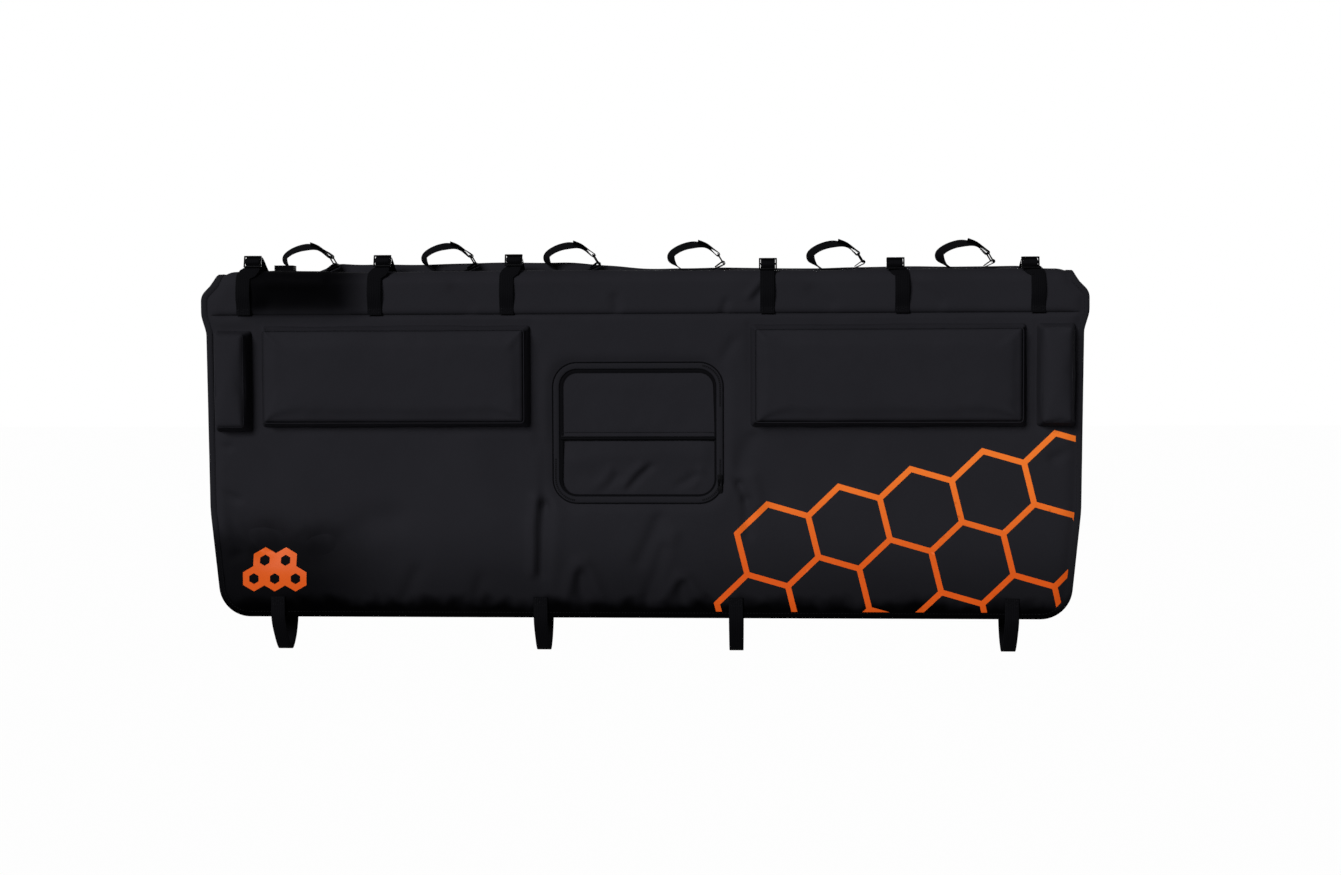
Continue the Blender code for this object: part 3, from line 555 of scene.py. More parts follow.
def film_finish(name, colour):
    """Orange transfer film that takes the weave under it, a little deeper low on the panel."""
    finish = Finish(name, 0.42, 0.08)
    x, y, z = finish.place()
    weave = x.wave(0.0011) * z.wave(0.0011)
    cloud = finish.grain(22, 4.0)
    fleck = finish.grain(700, 3.0)
    low = 1 - z.within(FOOT_Z + 0.05, FOOT_Z / 2)
    deeper = (colour[0] * 0.76, colour[1] * 0.55, colour[2] * 0.4)
    lighter = (min(colour[0] * 1.03, 1), colour[1] * 1.3, colour[2] * 1.6)
    finish.feed("Base Color", finish.blend(low * 0.85 + cloud * 0.2 + fleck * 0.15 - 0.1, lighter, deeper))
    finish.feed("Roughness", 0.36 + cloud * 0.12 + fleck * 0.05)
    finish.bump(weave * 0.35 + fleck * 0.65, 0.00006, 0.5)
    return finish.material


def surface_of(slot):
    """The material of one of the record's slots, or of its thread, made once."""
    found = bpy.data.materials.get("look_" + slot)
    if found:
        return found
    cloth = bpy.context.scene.pad_cloth
    trim = bpy.context.scene.pad_trim
    makers = {
        "coated_cloth": (cloth_finish, cloth.colour),
        "binding_tape": (tape_finish, trim.tape_colour),
        "black_webbing": (webbing_finish, trim.webbing_colour),
        "moulded_plastic": (plastic_finish, trim.plastic_colour),
        "orange_film": (film_finish, trim.film_colour),
        "thread": (thread_finish, trim.tape_colour),
    }
    maker, colour = makers[slot]
    return maker("look_" + slot, tuple(colour))


def as_mesh(name, shape):
    """The bmesh as a mesh; the bmesh is freed."""
    mesh = bpy.data.meshes.new(name)
    shape.to_mesh(mesh)
    shape.free()
    return mesh


def in_scene(name, data):
    """A new object with this data, linked to the scene."""
    obj = bpy.data.objects.new(name, data)
    bpy.context.scene.collection.objects.link(obj)
    return obj


def piece(name, shape, slot, nodes=(), surface=None, sharp=50):
    """The bmesh as a finished piece of the pad, which stands for these nodes."""
    mesh = as_mesh(name, shape)
    mesh.materials.append(surface_of(surface or slot))
    mesh.shade_smooth()
    mesh.set_sharp_from_angle(angle=math.radians(sharp))
    obj = in_scene(name, mesh)
    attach(obj, "root")
    if nodes:
        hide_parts(*nodes)
    return obj


def rounded(corners, arc_step=math.radians(7)):
    """Outline through corners (x, y, radius), each turned into an arc of that radius."""
    points = []
    for index, (x, y, radius) in enumerate(corners):
        corner = Vector((x, y))
        back = (Vector(corners[index - 1][:2]) - corner).normalized()
        ahead = (Vector(corners[(index + 1) % len(corners)][:2]) - corner).normalized()
        half = back.angle(ahead) / 2
        if radius == 0 or half > math.radians(89.9):
            points.append(corner)
            continue
        centre = corner + (back + ahead).normalized() * radius / math.sin(half)
        spoke = corner + back * radius / math.tan(half) - centre
        sweep = math.copysign(math.pi - 2 * half, back.cross(ahead))
        steps = max(1, round(abs(sweep) / arc_step))
        for step in range(steps + 1):
            points.append(centre + Matrix.Rotation(-sweep * step / steps, 2) @ spoke)
    return points


def grown(outline, distance):
    """An anticlockwise outline moved outwards by a distance, or inwards by a negative one."""
    moved = []
    for index, point in enumerate(outline):
        arrive = (point - outline[index - 1]).normalized()
        leave = (outline[(index + 1) % len(outline)] - point).normalized()
        along = (arrive + leave).normalized()
        outward = Vector((along.y, -along.x))
        moved.append(point + outward * distance / along.dot(leave))
    return moved


def front_flat(z):
    """Flat y of a height on the front panel."""
    return -(TOP_FLAT + FOLD_LENGTH - FOLD_RADIUS - z)


def folded(flat):
    """Where flat points, an array of x, y and lift, lie once the pad hangs over the tailgate."""
    x, y, lift = flat.T
    distance = np.abs(y)
    turn = np.clip((distance - TOP_FLAT) / FOLD_RADIUS, 0, math.pi / 2)
    drop = np.maximum(distance - TOP_FLAT - FOLD_LENGTH, 0)
    out = np.minimum(distance, TOP_FLAT) + (FOLD_RADIUS + lift) * np.sin(turn)
    height = np.where(turn > 0, (FOLD_RADIUS + lift) * np.cos(turn) - FOLD_RADIUS - drop, lift)
    return np.stack((x, np.copysign(out, y), height), axis=1)


def pad_outline():
    """The cut edge of the whole pad laid flat, anticlockwise from the front right foot."""
    crest_y = -TOP_FLAT - FOLD_LENGTH / 2
    stations = [
        (FOOT_INSET, front_flat(FOOT_Z), FOOT_RADIUS),
        (HIP_INSET, front_flat(HIP_Z), HIP_RADIUS),
        (PANEL_INSET, front_flat(SEAM_Z - FLARE_DROP), BAND_RADIUS),
        (0, front_flat(SEAM_Z), BAND_RADIUS),
        (0, front_flat(SHOULDER_Z), CREST_RADIUS),
        (CREST_INSET, crest_y, CREST_RADIUS),
        (FLAP_INSET, -front_flat(FLAP_FOOT_Z), FLAP_RADIUS),
    ]
    right = [(BAND_HALF_WIDTH - inset, y, radius) for inset, y, radius in stations]
    left = [(-x, y, radius) for x, y, radius in reversed(right)]
    return rounded(right + left)


def oblong(x, y, width, height, radius, arc_step=math.radians(15)):
    """Outline of a rectangle with rounded corners, anticlockwise."""
    corners = []
    for across, up in ((1, -1), (1, 1), (-1, 1), (-1, -1)):
        corners.append((x + across * width / 2, y + up * height / 2, radius))
    return rounded(corners, arc_step)


def window_outline():
    """The cut edge of the window laid flat, anticlockwise."""
    middle = front_flat(WINDOW_Z)
    return oblong(WINDOW_X, middle, WINDOW_WIDTH, WINDOW_HEIGHT, WINDOW_RADIUS, math.radians(7))


def reach(outline, points):
    """How far inside an outline each point lies, and the outline's point nearest to it."""
    start = np.array([tuple(point) for point in outline])
    run = np.roll(start, -1, axis=0) - start
    offset = points[:, None, :] - start[None]
    share = np.clip((offset * run).sum(2) / (run * run).sum(1), 0, 1)
    nearest = start + share[..., None] * run
    gap = np.linalg.norm(points[:, None, :] - nearest, axis=2)
    best = gap.argmin(axis=1)
    rows = np.arange(len(points))
    above = start[:, 1] > points[:, 1, None]
    crosses = above != np.roll(above, -1, axis=1)
    with np.errstate(divide="ignore", invalid="ignore"):
        at = start[:, 0] + run[:, 0] * (points[:, 1, None] - start[:, 1]) / run[:, 1]
    inside = (crosses & (points[:, 0, None] < at)).sum(axis=1) % 2 == 1
    return np.where(inside, 1, -1) * gap[rows, best], nearest[rows, best]


def spaced(stops, steps):
    """Places from stop to stop, no further apart than each stretch's step."""
    places = [stops[0]]
    for start, end, step in zip(stops, stops[1:], steps):
        count = max(1, math.ceil((end - start) / step))
        places += [start + (end - start) * index / count for index in range(1, count + 1)]
    return places


def smooth_step(share):
    """A share clipped to 0 to 1 and eased at both ends."""
    share = np.clip(share, 0, 1)
    return share * share * (3 - 2 * share)


def ripple(points, scale, seed):
    """Smooth noise from -1 to 1 at each flat point."""
    return np.array([noise.noise((x * scale, y * scale, seed)) for x, y in points])


def creased(points, creases):
    """How far a set of creases lifts the cloth at each flat point."""
    bend = np.stack((ripple(points, 14, 3.1), ripple(points, 14, 7.7)), axis=1) * 0.008
    places = points + bend
    lift = np.zeros(len(points))
    for x0, z0, x1, z1, width, height in creases:
        start = np.array((x0, front_flat(z0)))
        run = np.array((x1, front_flat(z1))) - start
        share = np.clip((places - start) @ run / (run @ run), 0, 1)
        gap = np.linalg.norm(places - start - share[:, None] * run, axis=1)
        lift += height * np.exp(-((gap / width) ** 2))
    return lift


def block_places():
    """Name, middle x, middle z and width of each foam block."""
    return (
        ("foam_block_1", -END_BLOCK_X, BLOCK_Z - LEFT_BLOCK_DROP, END_BLOCK_WIDTH),
        ("foam_block_2", -LONG_BLOCK_X, BLOCK_Z, LONG_BLOCK_WIDTH),
        ("foam_block_3", LONG_BLOCK_X, BLOCK_Z, LONG_BLOCK_WIDTH),
        ("foam_block_4", END_BLOCK_X, BLOCK_Z, END_BLOCK_WIDTH),
    )


def beside_blocks(points):
    """Distance from each flat point to the nearest block's foot, 0 under a block."""
    nearest = np.full(len(points), 1.0)
    for _, x, z, width in block_places():
        half = np.array((width / 2 + BLOCK_DRAFT, BLOCK_HEIGHT / 2 + BLOCK_DRAFT))
        past = np.maximum(np.abs(points - np.array((x, front_flat(z)))) - half, 0)
        nearest = np.minimum(nearest, np.linalg.norm(past, axis=1))
    return nearest


def outer_lift(points, rim, creases):
    """Height of the padding's outer face at flat points that lie this far inside its sewn edges."""
    cloth = bpy.context.scene.pad_cloth
    uneven = 1 + 0.3 * ripple(points, 11, 1.3)
    low = 1 - smooth_step((points[:, 1] - front_flat(FOOT_Z) - 0.02) / 0.05)
    width = cloth.crown * uneven * (1 + 0.35 * low * (1 + ripple(points, 19, 6.1)))
    risen = np.clip((rim - SEWN_MARGIN) / width, 0, 1)
    lift = EDGE_TOP + (PAD_THICKNESS - EDGE_TOP) * np.sin(risen * math.pi / 2) ** 0.85
    soft = smooth_step((rim - SEWN_MARGIN) / 0.03)
    covered = smooth_step(beside_blocks(points) / 0.02)
    sagging = ripple(points, 4, 5.5) * 0.0016 + ripple(points, 13, 2.2) * 0.0006
    lift += cloth.crease_depth * soft * covered * (creased(points, creases) + sagging)
    puckers = ripple(points * np.array((1, 0.35)), 46, 8.4) + ripple(points, 70, 4.2) * 0.4
    lift += puckers * 0.0007 * risen * (1 - smooth_step((rim - SEWN_MARGIN) / 0.05))
    seam = np.abs(points[:, 1] - front_flat(SEAM_Z))
    lift -= SEAM_GROOVE * np.exp(-((seam / SEAM_GROOVE_WIDTH) ** 2)) * risen
    gathers = ripple(points * np.array((1, 0.2)), 40, 6.6) * 0.0009
    lift += gathers * np.exp(-((seam / 0.012) ** 2)) * risen
    edge_of_block = beside_blocks(points)
    lift -= 0.0012 * np.exp(-((edge_of_block / 0.006) ** 2)) * (edge_of_block > 0)
    return lift


def crest_hump(points):
    """The slack roll of cover cloth along the back of the crest, highest on the left."""
    x, y = points.T
    share = smooth_step((x + 0.60) / 0.06) * (1 - 0.62 * smooth_step((x + 0.16) / 0.20))
    share *= 1 - smooth_step((x - 0.66) / 0.05)
    roll = HUMP_HEIGHT * share * np.exp(-(((y - HUMP_Y) / HUMP_WIDTH) ** 2))
    return roll * (1 + 0.10 * ripple(points, 16, 9.9))


def flat_points(verts):
    """The x and y of vertices as rows of an array."""
    return np.array([vert.co.xy[:] for vert in verts])


def flat_cloth(columns, rows, outlines, snap):
    """Two layers of faces over a grid, cut off at outlines: kept inside for side 1, outside for -1.

    Gives the shape, its vertices, their flat points, and which of them are the outer layer's.
    """
    shape = bmesh.new()
    across, up = len(columns) - 1, len(rows) - 1
    bmesh.ops.create_grid(shape, x_segments=across, y_segments=up, size=1)
    for vert in shape.verts:
        column = round((vert.co.x + 1) / 2 * across)
        row = round((vert.co.y + 1) / 2 * up)
        vert.co = (columns[column], rows[row], 0)
    points = flat_points(shape.verts)
    outside = np.zeros(len(points), bool)
    for outline, side in outlines:
        inside, nearest = reach(outline, points)
        outside |= side * inside < -snap
        pulled = np.abs(inside) <= snap
        points[pulled] = nearest[pulled]
    for vert, point in zip(shape.verts, points):
        vert.co.xy = point
    gone = [vert for vert, past in zip(shape.verts, outside) if past]
    bmesh.ops.delete(shape, geom=gone, context="VERTS")
    extruded = bmesh.ops.extrude_face_region(shape, geom=shape.faces[:])
    outer = {item for item in extruded["geom"] if isinstance(item, bmesh.types.BMVert)}
    verts = list(shape.verts)
    return shape, verts, flat_points(verts), np.array([vert in outer for vert in verts])


def lay_over(shape, verts, points, lift):
    """Puts vertices where their flat points lie over the tailgate."""
    for vert, place in zip(verts, folded(np.column_stack((points, lift)))):
        vert.co = place
    bmesh.ops.recalc_face_normals(shape, faces=shape.faces)


def pad_cover(columns, rows, creases, hump):
    """The padded cover over a grid of flat x and y, trimmed to the rim and round the window."""
    snap = 0.55 * bpy.context.scene.pad_cloth.mesh_step
    outlines = ((pad_outline(), 1), (window_outline(), -1))
    shape, verts, points, is_outer = flat_cloth(columns, rows, outlines, snap)
    rim = np.minimum(reach(pad_outline(), points)[0], -reach(window_outline(), points)[0])
    lining = EDGE_LIFT * (1 - np.clip((rim - SEWN_MARGIN) / LINING_STEP, 0, 1))
    lift = np.where(is_outer, outer_lift(points, rim, creases), lining)
    if hump:
        lift += np.where(is_outer, crest_hump(points), 0)
    lay_over(shape, verts, points, lift)
    return shape


def padded_covers():
    """The front panel's cover and the band's, which meet at the seam."""
    step = bpy.context.scene.pad_cloth.mesh_step
    columns = spaced((-BAND_HALF_WIDTH, BAND_HALF_WIDTH), (step,))
    rows = spaced((front_flat(FOOT_Z), front_flat(SEAM_Z) + SEAM_LAP), (step,))
    shape = pad_cover(columns, rows, CREASES, False)
    piece("front_cover", shape, "coated_cloth", ["front_panel"], sharp=70)
    fold = FOLD_LENGTH / 10
    stops = (
        front_flat(SEAM_Z) - SEAM_LAP, -TOP_FLAT - FOLD_LENGTH, -TOP_FLAT,
        TOP_FLAT, TOP_FLAT + FOLD_LENGTH, -front_flat(FLAP_FOOT_Z),
    )
    rows = spaced(stops, (step, fold, step, fold, 1.6 * step))
    shape = pad_cover(columns, rows, BAND_CREASES, True)
    piece("band_cover", shape, "coated_cloth", ["top_band"], sharp=70)


def unit(rows):
    """Each row of an array as a vector of length 1."""
    return rows / np.linalg.norm(rows, axis=1)[:, None]


def lofted(rings, closed=False):
    """A skin through rings of points, with a map of the distances round and along it."""
    count, sides = rings.shape[:2]
    shape = bmesh.new()
    steps = count if closed else count - 1
    bmesh.ops.create_grid(shape, x_segments=sides, y_segments=steps, size=1)
    round_ring = np.linalg.norm(np.roll(rings, -1, axis=1) - rings, axis=2).mean(axis=0)
    around = np.concatenate(([0], np.cumsum(round_ring)))
    middles = rings.mean(axis=1)
    stretch = np.linalg.norm(np.roll(middles, -1, axis=0) - middles, axis=1)
    along = np.concatenate(([0], np.cumsum(stretch)))
    places = {}
    for vert in shape.verts:
        side = round((vert.co.x + 1) / 2 * sides)
        ring = round((vert.co.y + 1) / 2 * steps)
        places[vert] = (around[side], along[ring])
        vert.co = rings[ring % count, side % sides]
    strip = shape.loops.layers.uv.new("strip")
    for face in shape.faces:
        for loop in face.loops:
            loop[strip].uv = places[loop.vert]
    bmesh.ops.remove_doubles(shape, verts=shape.verts, dist=1e-6)
    ends = [edge for edge in shape.edges if edge.is_boundary]
    if ends:
        bmesh.ops.holes_fill(shape, edges=ends, sides=0)
    bmesh.ops.recalc_face_normals(shape, faces=shape.faces)
    return shape


def subdivided(outline, step):
    """A closed outline with points no further apart than a step, and finer over the folds."""
    points = []
    for index, point in enumerate(outline):
        ahead = outline[(index + 1) % len(outline)]
        middle = (point + ahead) / 2
        folds = TOP_FLAT - 0.03 < abs(middle.y) < TOP_FLAT + FOLD_LENGTH + 0.03
        near = 0.0016 if folds or abs(point.y) < 0.05 or abs(ahead.y) < 0.05 else step
        count = max(1, math.ceil((ahead - point).length / near))
        points += [point.lerp(ahead, share / count) for share in range(count)]
    return points


def tape_section(side):
    """Section of tape folded round an edge, as (outwards, lift), from its lower lip round."""
    half = (EDGE_TOP - EDGE_LIFT) / 2 + FIT_GAP
    middle = (EDGE_TOP + EDGE_LIFT) / 2
    turn = [math.radians(angle) for angle in range(-90, 91, 30)]
    bulge = half + TAPE_THICKNESS
    outer = [(-TAPE_WIDTH, middle - bulge + 0.0003), (-TAPE_WIDTH * 0.5, middle - bulge)]
    outer += [(bulge * 0.45 * math.cos(a) - bulge * 0.1, middle + bulge * math.sin(a)) for a in turn]
    outer += [(-TAPE_WIDTH * 0.45, middle + bulge), (-TAPE_WIDTH * 0.85, middle + bulge + 0.0001)]
    lip = [(-TAPE_WIDTH, middle + half + 0.0007), (-TAPE_WIDTH * 0.96, middle + half + 0.0001)]
    inner = [(-0.004, middle + half), (-0.0015, middle), (-0.004, middle - half)]
    inner += [(-TAPE_WIDTH * 0.96, middle - half)]
    return [(side * out, lift) for out, lift in outer + lip + inner]


def tape_shape(outline, side, step):
    """Tape folded round a cut edge. The pad lies inside the edge for side 1, outside for -1."""
    edge = subdivided(outline, step)
    base = np.array([tuple(point) for point in edge])
    ahead = np.roll(base, -1, axis=0) - np.roll(base, 1, axis=0)
    outward = unit(np.stack((ahead[:, 1], -ahead[:, 0]), axis=1))
    wander = ripple(base, 30, 4.4) * 0.0004
    swell = ripple(base, 55, 2.9) * 0.00025
    rings = np.empty((len(edge), len(tape_section(side)), 3))
    for index, (out, lift) in enumerate(tape_section(side)):
        share = min(abs(out) / TAPE_WIDTH, 1)
        flat = base + outward * (out + wander * share)[:, None]
        rings[:, index] = folded(np.column_stack((flat, lift + swell)))
    return lofted(rings, closed=True)


def paced(line, pitch):
    """Points a pitch apart along a closed line, each with the line's direction there."""
    walked = 0.0
    for index, point in enumerate(line):
        ahead = line[(index + 1) % len(line)]
        run = (ahead - point).length
        while walked < run:
            yield point.lerp(ahead, walked / run), (ahead - point).normalized()
            walked += pitch
        walked -= run


def rim_stitches(outline, pitch):
    """The row of stitches on the rim's tape, as far as it can be seen from the front or above."""
    shape = bmesh.new()
    lift = TAPE_FACE + 0.0001
    for flat, along in paced(grown(outline, 0.002 - TAPE_WIDTH), pitch):
        if flat.y < TOP_FLAT:
            tip = flat + along * 0.001
            ends = folded(np.array([(*flat, lift), (*tip, lift), (*flat, lift + 0.001)]))
            start, ahead, up = (Vector(end) for end in (ends[0], ends[1] - ends[0], ends[2] - ends[0]))
            stitch(shape, start, ahead, up, STITCH_LENGTH)
    return shape


def stitch(shape, middle, along, up, length, width=STITCH_WIDTH):
    """One stitch: a small rounded bead of thread."""
    along = along.normalized()
    across = up.cross(along).normalized()
    turn = Matrix((along, across, along.cross(across))).transposed().to_4x4()
    size = Matrix.Diagonal((length / 2, width / 2, STITCH_HEIGHT / 2, 1))
    bmesh.ops.create_icosphere(
        shape, subdivisions=1, radius=1, matrix=Matrix.Translation(middle) @ turn @ size
    )


def rim_tape():
    """Tape round the whole rim of the pad, and its stitches."""
    outline = pad_outline()
    piece("rim_tape", tape_shape(outline, 1, 0.008), "binding_tape", ["edge_binding"])
    thread = rim_stitches(outline, bpy.context.scene.pad_trim.stitch_pitch)
    piece("rim_stitches", thread, "binding_tape", surface="thread")


def window_tape():
    """Tape round the window, the fold outside it, and the zip's own tape, widened as painted shadow, and
    its teeth.
    """
    outline = window_outline()
    piece("window_tape", tape_shape(outline, -1, 0.004), "binding_tape", ["window_binding"])
    fold = [Vector(place) for place in folded(np.array([
        (*point, TAPE_FACE + 0.0002) for point in grown(outline, TAPE_WIDTH + 0.0006)
    ]))]
    piece("window_fold", wire(fold, 0.0011, True, 8), "black_webbing")
    piece("zip_tape_and_shadow", zip_tape_and_shadow(outline), "black_webbing")
    piece("zip_teeth", zip_teeth(bpy.context.scene.pad_trim.tooth_pitch), "moulded_plastic")


def zip_tape_and_shadow(outline):
    """The zip's dark tape inside the window, widened at the top and on the left as painted shadow of the
    gap between the flap and the window's tape.
    """
    edge = subdivided(outline, 0.004)
    middle = Vector((WINDOW_X, front_flat(WINDOW_Z)))
    rings = []
    for index, point in enumerate(edge):
        ahead = edge[(index + 1) % len(edge)] - edge[index - 1]
        inward = Vector((-ahead.y, ahead.x)).normalized()
        spoke = (point - middle).normalized()
        # Painted shadow: the dark tape grows wider at the top and on the left.
        share = float(smooth_step(0.5 + 1.2 * (0.9 * spoke.y - 0.4 * spoke.x)))
        width = ZIP_TAPE_LEAST + ZIP_SHADOW_SPREAD * share
        low, high = EDGE_LIFT + 0.003, EDGE_LIFT + 0.0042
        section = ((-0.0005, high), (width, high), (width, low), (-0.0005, low))
        rings.append(folded(np.array([(*(point + inward * out), lift) for out, lift in section])))
    return lofted(np.array(rings), closed=True)


def bare_corner(flat):
    """Whether the zip's teeth show here: at three of the window's corners."""
    x = (flat.x - WINDOW_X) / WINDOW_WIDTH
    y = (flat.y - front_flat(WINDOW_Z)) / WINDOW_HEIGHT
    return abs(x) > 0.40 and abs(y) > 0.20 and (x > 0 or y < 0)


def zip_teeth(pitch):
    """Teeth of the zip that runs round the window's tape, where they show."""
    shape = bmesh.new()
    size = Matrix.Diagonal((pitch * 0.5, *TOOTH_SIZE, 1))
    for flat, along in paced(grown(window_outline(), ZIP_LINE), pitch):
        if bare_corner(flat):
            middle = folded(np.array([(*flat, TAPE_FACE + 0.0001)]))[0]
            turn = Matrix.Rotation(-math.atan2(along.y, along.x), 4, "Y")
            bmesh.ops.create_cube(shape, size=1, matrix=Matrix.Translation(middle) @ turn @ size)
    return shape


def flap_shape(low_z, high_z, lift, slack, hem_z, creases):
    """One cloth flap between two heights: soft, a little slack, creased, and thinner at its hem."""
    outline = grown(window_outline(), FIT_GAP)
    left = WINDOW_X - WINDOW_WIDTH / 2
    columns = spaced((left, left + WINDOW_WIDTH), (FLAP_STEP,))
    rows = spaced((front_flat(low_z), front_flat(high_z)), (FLAP_STEP,))
    shape, verts, points, is_outer = flat_cloth(columns, rows, ((outline, 1),), FLAP_SNAP)
    held = np.clip(reach(outline, points)[0] / 0.03, 0, 1)
    wave = ripple(points * np.array((0.5, 1.4)), 26, 5.1) + 0.5 * ripple(points, 60, 3.3)
    swell = smooth_step(held) * (slack * (0.7 + 0.5 * wave) + creased(points, creases))
    hem = np.exp(-(((points[:, 1] - front_flat(hem_z)) / 0.0022) ** 2))
    thick = np.where(is_outer, FLAP_CLOTH * 0.7, 0.0) * (1 - 0.35 * hem)
    lay_over(shape, verts, points, lift + swell + thick)
    return shape


def access_flaps():
    """The window's two flaps. The upper one overlaps the lower one at the slit."""
    bottom = WINDOW_Z - WINDOW_HEIGHT / 2
    top = WINDOW_Z + WINDOW_HEIGHT / 2
    lower_top = SLIT_Z + FLAP_OVERLAP
    upper_lift = FLAP_LIFT + FLAP_CLOTH + FIT_GAP
    lower = flap_shape(bottom, lower_top, FLAP_LIFT, 0.0012, lower_top, FLAP_CREASES)
    upper = flap_shape(SLIT_Z, top, upper_lift + 0.0008, 0.0016, SLIT_Z + 0.0085, ())
    for name, shape, height, held in (
        ("lower", lower, lower_top - bottom, "stretched"),
        ("upper", upper, top - SLIT_Z, "hung"),
    ):
        sheet = piece(f"{name}_flap_cloth", shape, "coated_cloth", [f"access_flap_{name}"], sharp=70)
        size = (WINDOW_WIDTH - 2 * FLAP_TRIM, height - FLAP_TRIM)
        area = size[0] * size[1] * 0.985
    slit_edge(-(TAILGATE_GAP / 2 + upper_lift + FLAP_CLOTH + 0.0010))


def slit_edge(y):
    """The upper flap's edge at the slit: a dark binding that also stands in for the shadow under the
    flap's edge, a thin hem and a row of stitches.
    """
    # The dark binding is partly painted shadow: a dark roll where the slit's shade falls.
    for name, slot, radius, out, rise in (
        ("slit_shadow_binding", "black_webbing", 0.0030, 0.0004, -0.0030),
        ("slit_hem", "coated_cloth", 0.0007, 0.0012, 0.0012),
    ):
        ends = [WINDOW_X + SLIT_HALF * share / 40 for share in range(-40, 41)]
        line = [Vector((x, y - out, SLIT_Z + rise)) for x in ends]
        piece(name, wire(line, radius, False), slot)
    shape = bmesh.new()
    for step in range(-38, 39):
        middle = Vector((WINDOW_X + SLIT_HALF * step / 39, y - 0.0012, SLIT_Z + 0.0080))
        stitch(shape, middle, Vector((1, 0, 0)), Vector((0, -1, 0)), 0.0032, 0.0016)
    piece("slit_stitches", shape, "coated_cloth", surface="thread")


def rounded_box(shape, size, place, radius):
    """Adds a box of this size with rounded edges, set by a matrix."""
    scale = Matrix.Diagonal((*size, 1))
    made = bmesh.ops.create_cube(shape, size=1, matrix=scale)
    verts = made["verts"]
    edges = list({edge for vert in verts for edge in vert.link_edges})
    bevelled = bmesh.ops.bevel(
        shape, geom=edges, offset=radius, segments=3, profile=0.5, affect="EDGES", material=-1
    )
    moved = {vert for face in bevelled["faces"] for vert in face.verts} | {v for v in verts if v.is_valid}
    bmesh.ops.transform(shape, matrix=place, verts=list(moved))


def zip_slider():
    """Slider body with its bridge, and a pull that hangs from it."""
    x = WINDOW_X + (WINDOW_WIDTH + TAPE_WIDTH) / 2
    y = -(TAILGATE_GAP / 2 + TAPE_FACE + FIT_GAP)
    shape = bmesh.new()
    rounded_box(shape, (0.009, 0.0022, 0.013), Matrix.Translation((x, y - 0.0011, SLIDER_Z)), 0.001)
    rounded_box(shape, (0.003, 0.0016, 0.008), Matrix.Translation((x, y - 0.0028, SLIDER_Z)), 0.0007)
    pull = wire_points(oblong(0, 0, 0.006, 0.024, 0.0025), x, SLIDER_Z - 0.012, y - 0.0034)
    join(shape, wire(pull, 0.0009, True))
    grip = Matrix.Translation((x, y - 0.0034, SLIDER_Z - 0.018))
    rounded_box(shape, (0.0052, 0.0014, 0.010), grip, 0.0006)
    piece("zip_pull", shape, "moulded_plastic", ["zip_slider"])


def wire_points(outline, x, z, y):
    """An outline drawn in x and z about a middle, as points at one depth."""
    return [Vector((x + point.x, y, z + point.y)) for point in outline]


def join(shape, other):
    """Adds another bmesh's faces to a shape."""
    mesh = as_mesh("joined", other)
    shape.from_mesh(mesh)
    bpy.data.meshes.remove(mesh)


def wire(points, radius, closed, sides=10):
    """Round wire along points."""
    count = len(points)
    rings = np.empty((count, sides, 3))
    normal = None
    for index, point in enumerate(points):
        ahead = points[(index + 1) % count if closed else min(index + 1, count - 1)]
        behind = points[index - 1 if closed else max(index - 1, 0)]
        along = (ahead - behind).normalized()
        if normal is None:
            normal = along.orthogonal().normalized()
        normal = (normal - along * normal.dot(along)).normalized()
        side = along.cross(normal)
        for step in range(sides):
            angle = 2 * math.pi * step / sides
            rings[index, step] = point + (normal * math.cos(angle) + side * math.sin(angle)) * radius
    return lofted(rings, closed)


def halved(shape, place, normal, clear=False):
    """Cuts a shape's faces along a plane, and clears what is in front of it if asked."""
    geometry = shape.verts[:] + shape.edges[:] + shape.faces[:]
    bmesh.ops.bisect_plane(shape, geom=geometry, plane_co=place, plane_no=normal, clear_outer=clear)


def sliced(shape, axis, low, high, step):
    """Cuts a shape's faces across an axis, no further apart than a step."""
    normal = [0, 0, 0]
    normal[axis] = 1
    for place in spaced((low, high), (step,))[1:-1]:
        middle = [0, 0, 0]
        middle[axis] = place
        halved(shape, middle, normal)


def block_shape(x, z, width):
    """A crowned block with sloping sides, soft edges and a seam round its face."""
    shape = bmesh.new()
    bmesh.ops.create_cube(shape, size=1)
    for vert in shape.verts:
        spread = 0 if vert.co.y < 0 else 2 * BLOCK_DRAFT
        vert.co.x *= width + spread
        vert.co.y *= BLOCK_THICKNESS
        vert.co.z *= BLOCK_HEIGHT + spread
    front = [edge for edge in shape.edges if any(vert.co.y < 0 for vert in edge.verts)]
    bmesh.ops.bevel(
        shape, geom=front, offset=0.0055, segments=4, profile=0.5, affect="EDGES", material=-1
    )
    halves = (width / 2 + BLOCK_DRAFT, BLOCK_THICKNESS / 2, BLOCK_HEIGHT / 2 + BLOCK_DRAFT)
    for axis, half in enumerate(halves):
        sliced(shape, axis, -half, half, 0.006)
    y = -FACE_Y - BLOCK_THICKNESS / 2
    for vert in shape.verts:
        across = min(1, abs(vert.co.x) / (width / 2))
        up = min(1, abs(vert.co.z) / (BLOCK_HEIGHT / 2))
        front = max(0, -vert.co.y / (BLOCK_THICKNESS / 2))
        crown = (1 - across ** 6) * (1 - up ** 4)
        where = (vert.co.x * 13 + x * 7, vert.co.y * 20, vert.co.z * 13)
        soft = noise.noise(where) * 0.0011 + noise.noise([value * 3.4 for value in where]) * 0.0005
        vert.co.y -= front * (0.0022 * crown + soft)
        side = max(across, up) ** 8 * (1 - front)
        vert.co.x += math.copysign(side * soft * 1.6, vert.co.x)
        vert.co.z += side * soft * 1.6
    bmesh.ops.translate(shape, verts=shape.verts, vec=(x, y, z))
    return shape


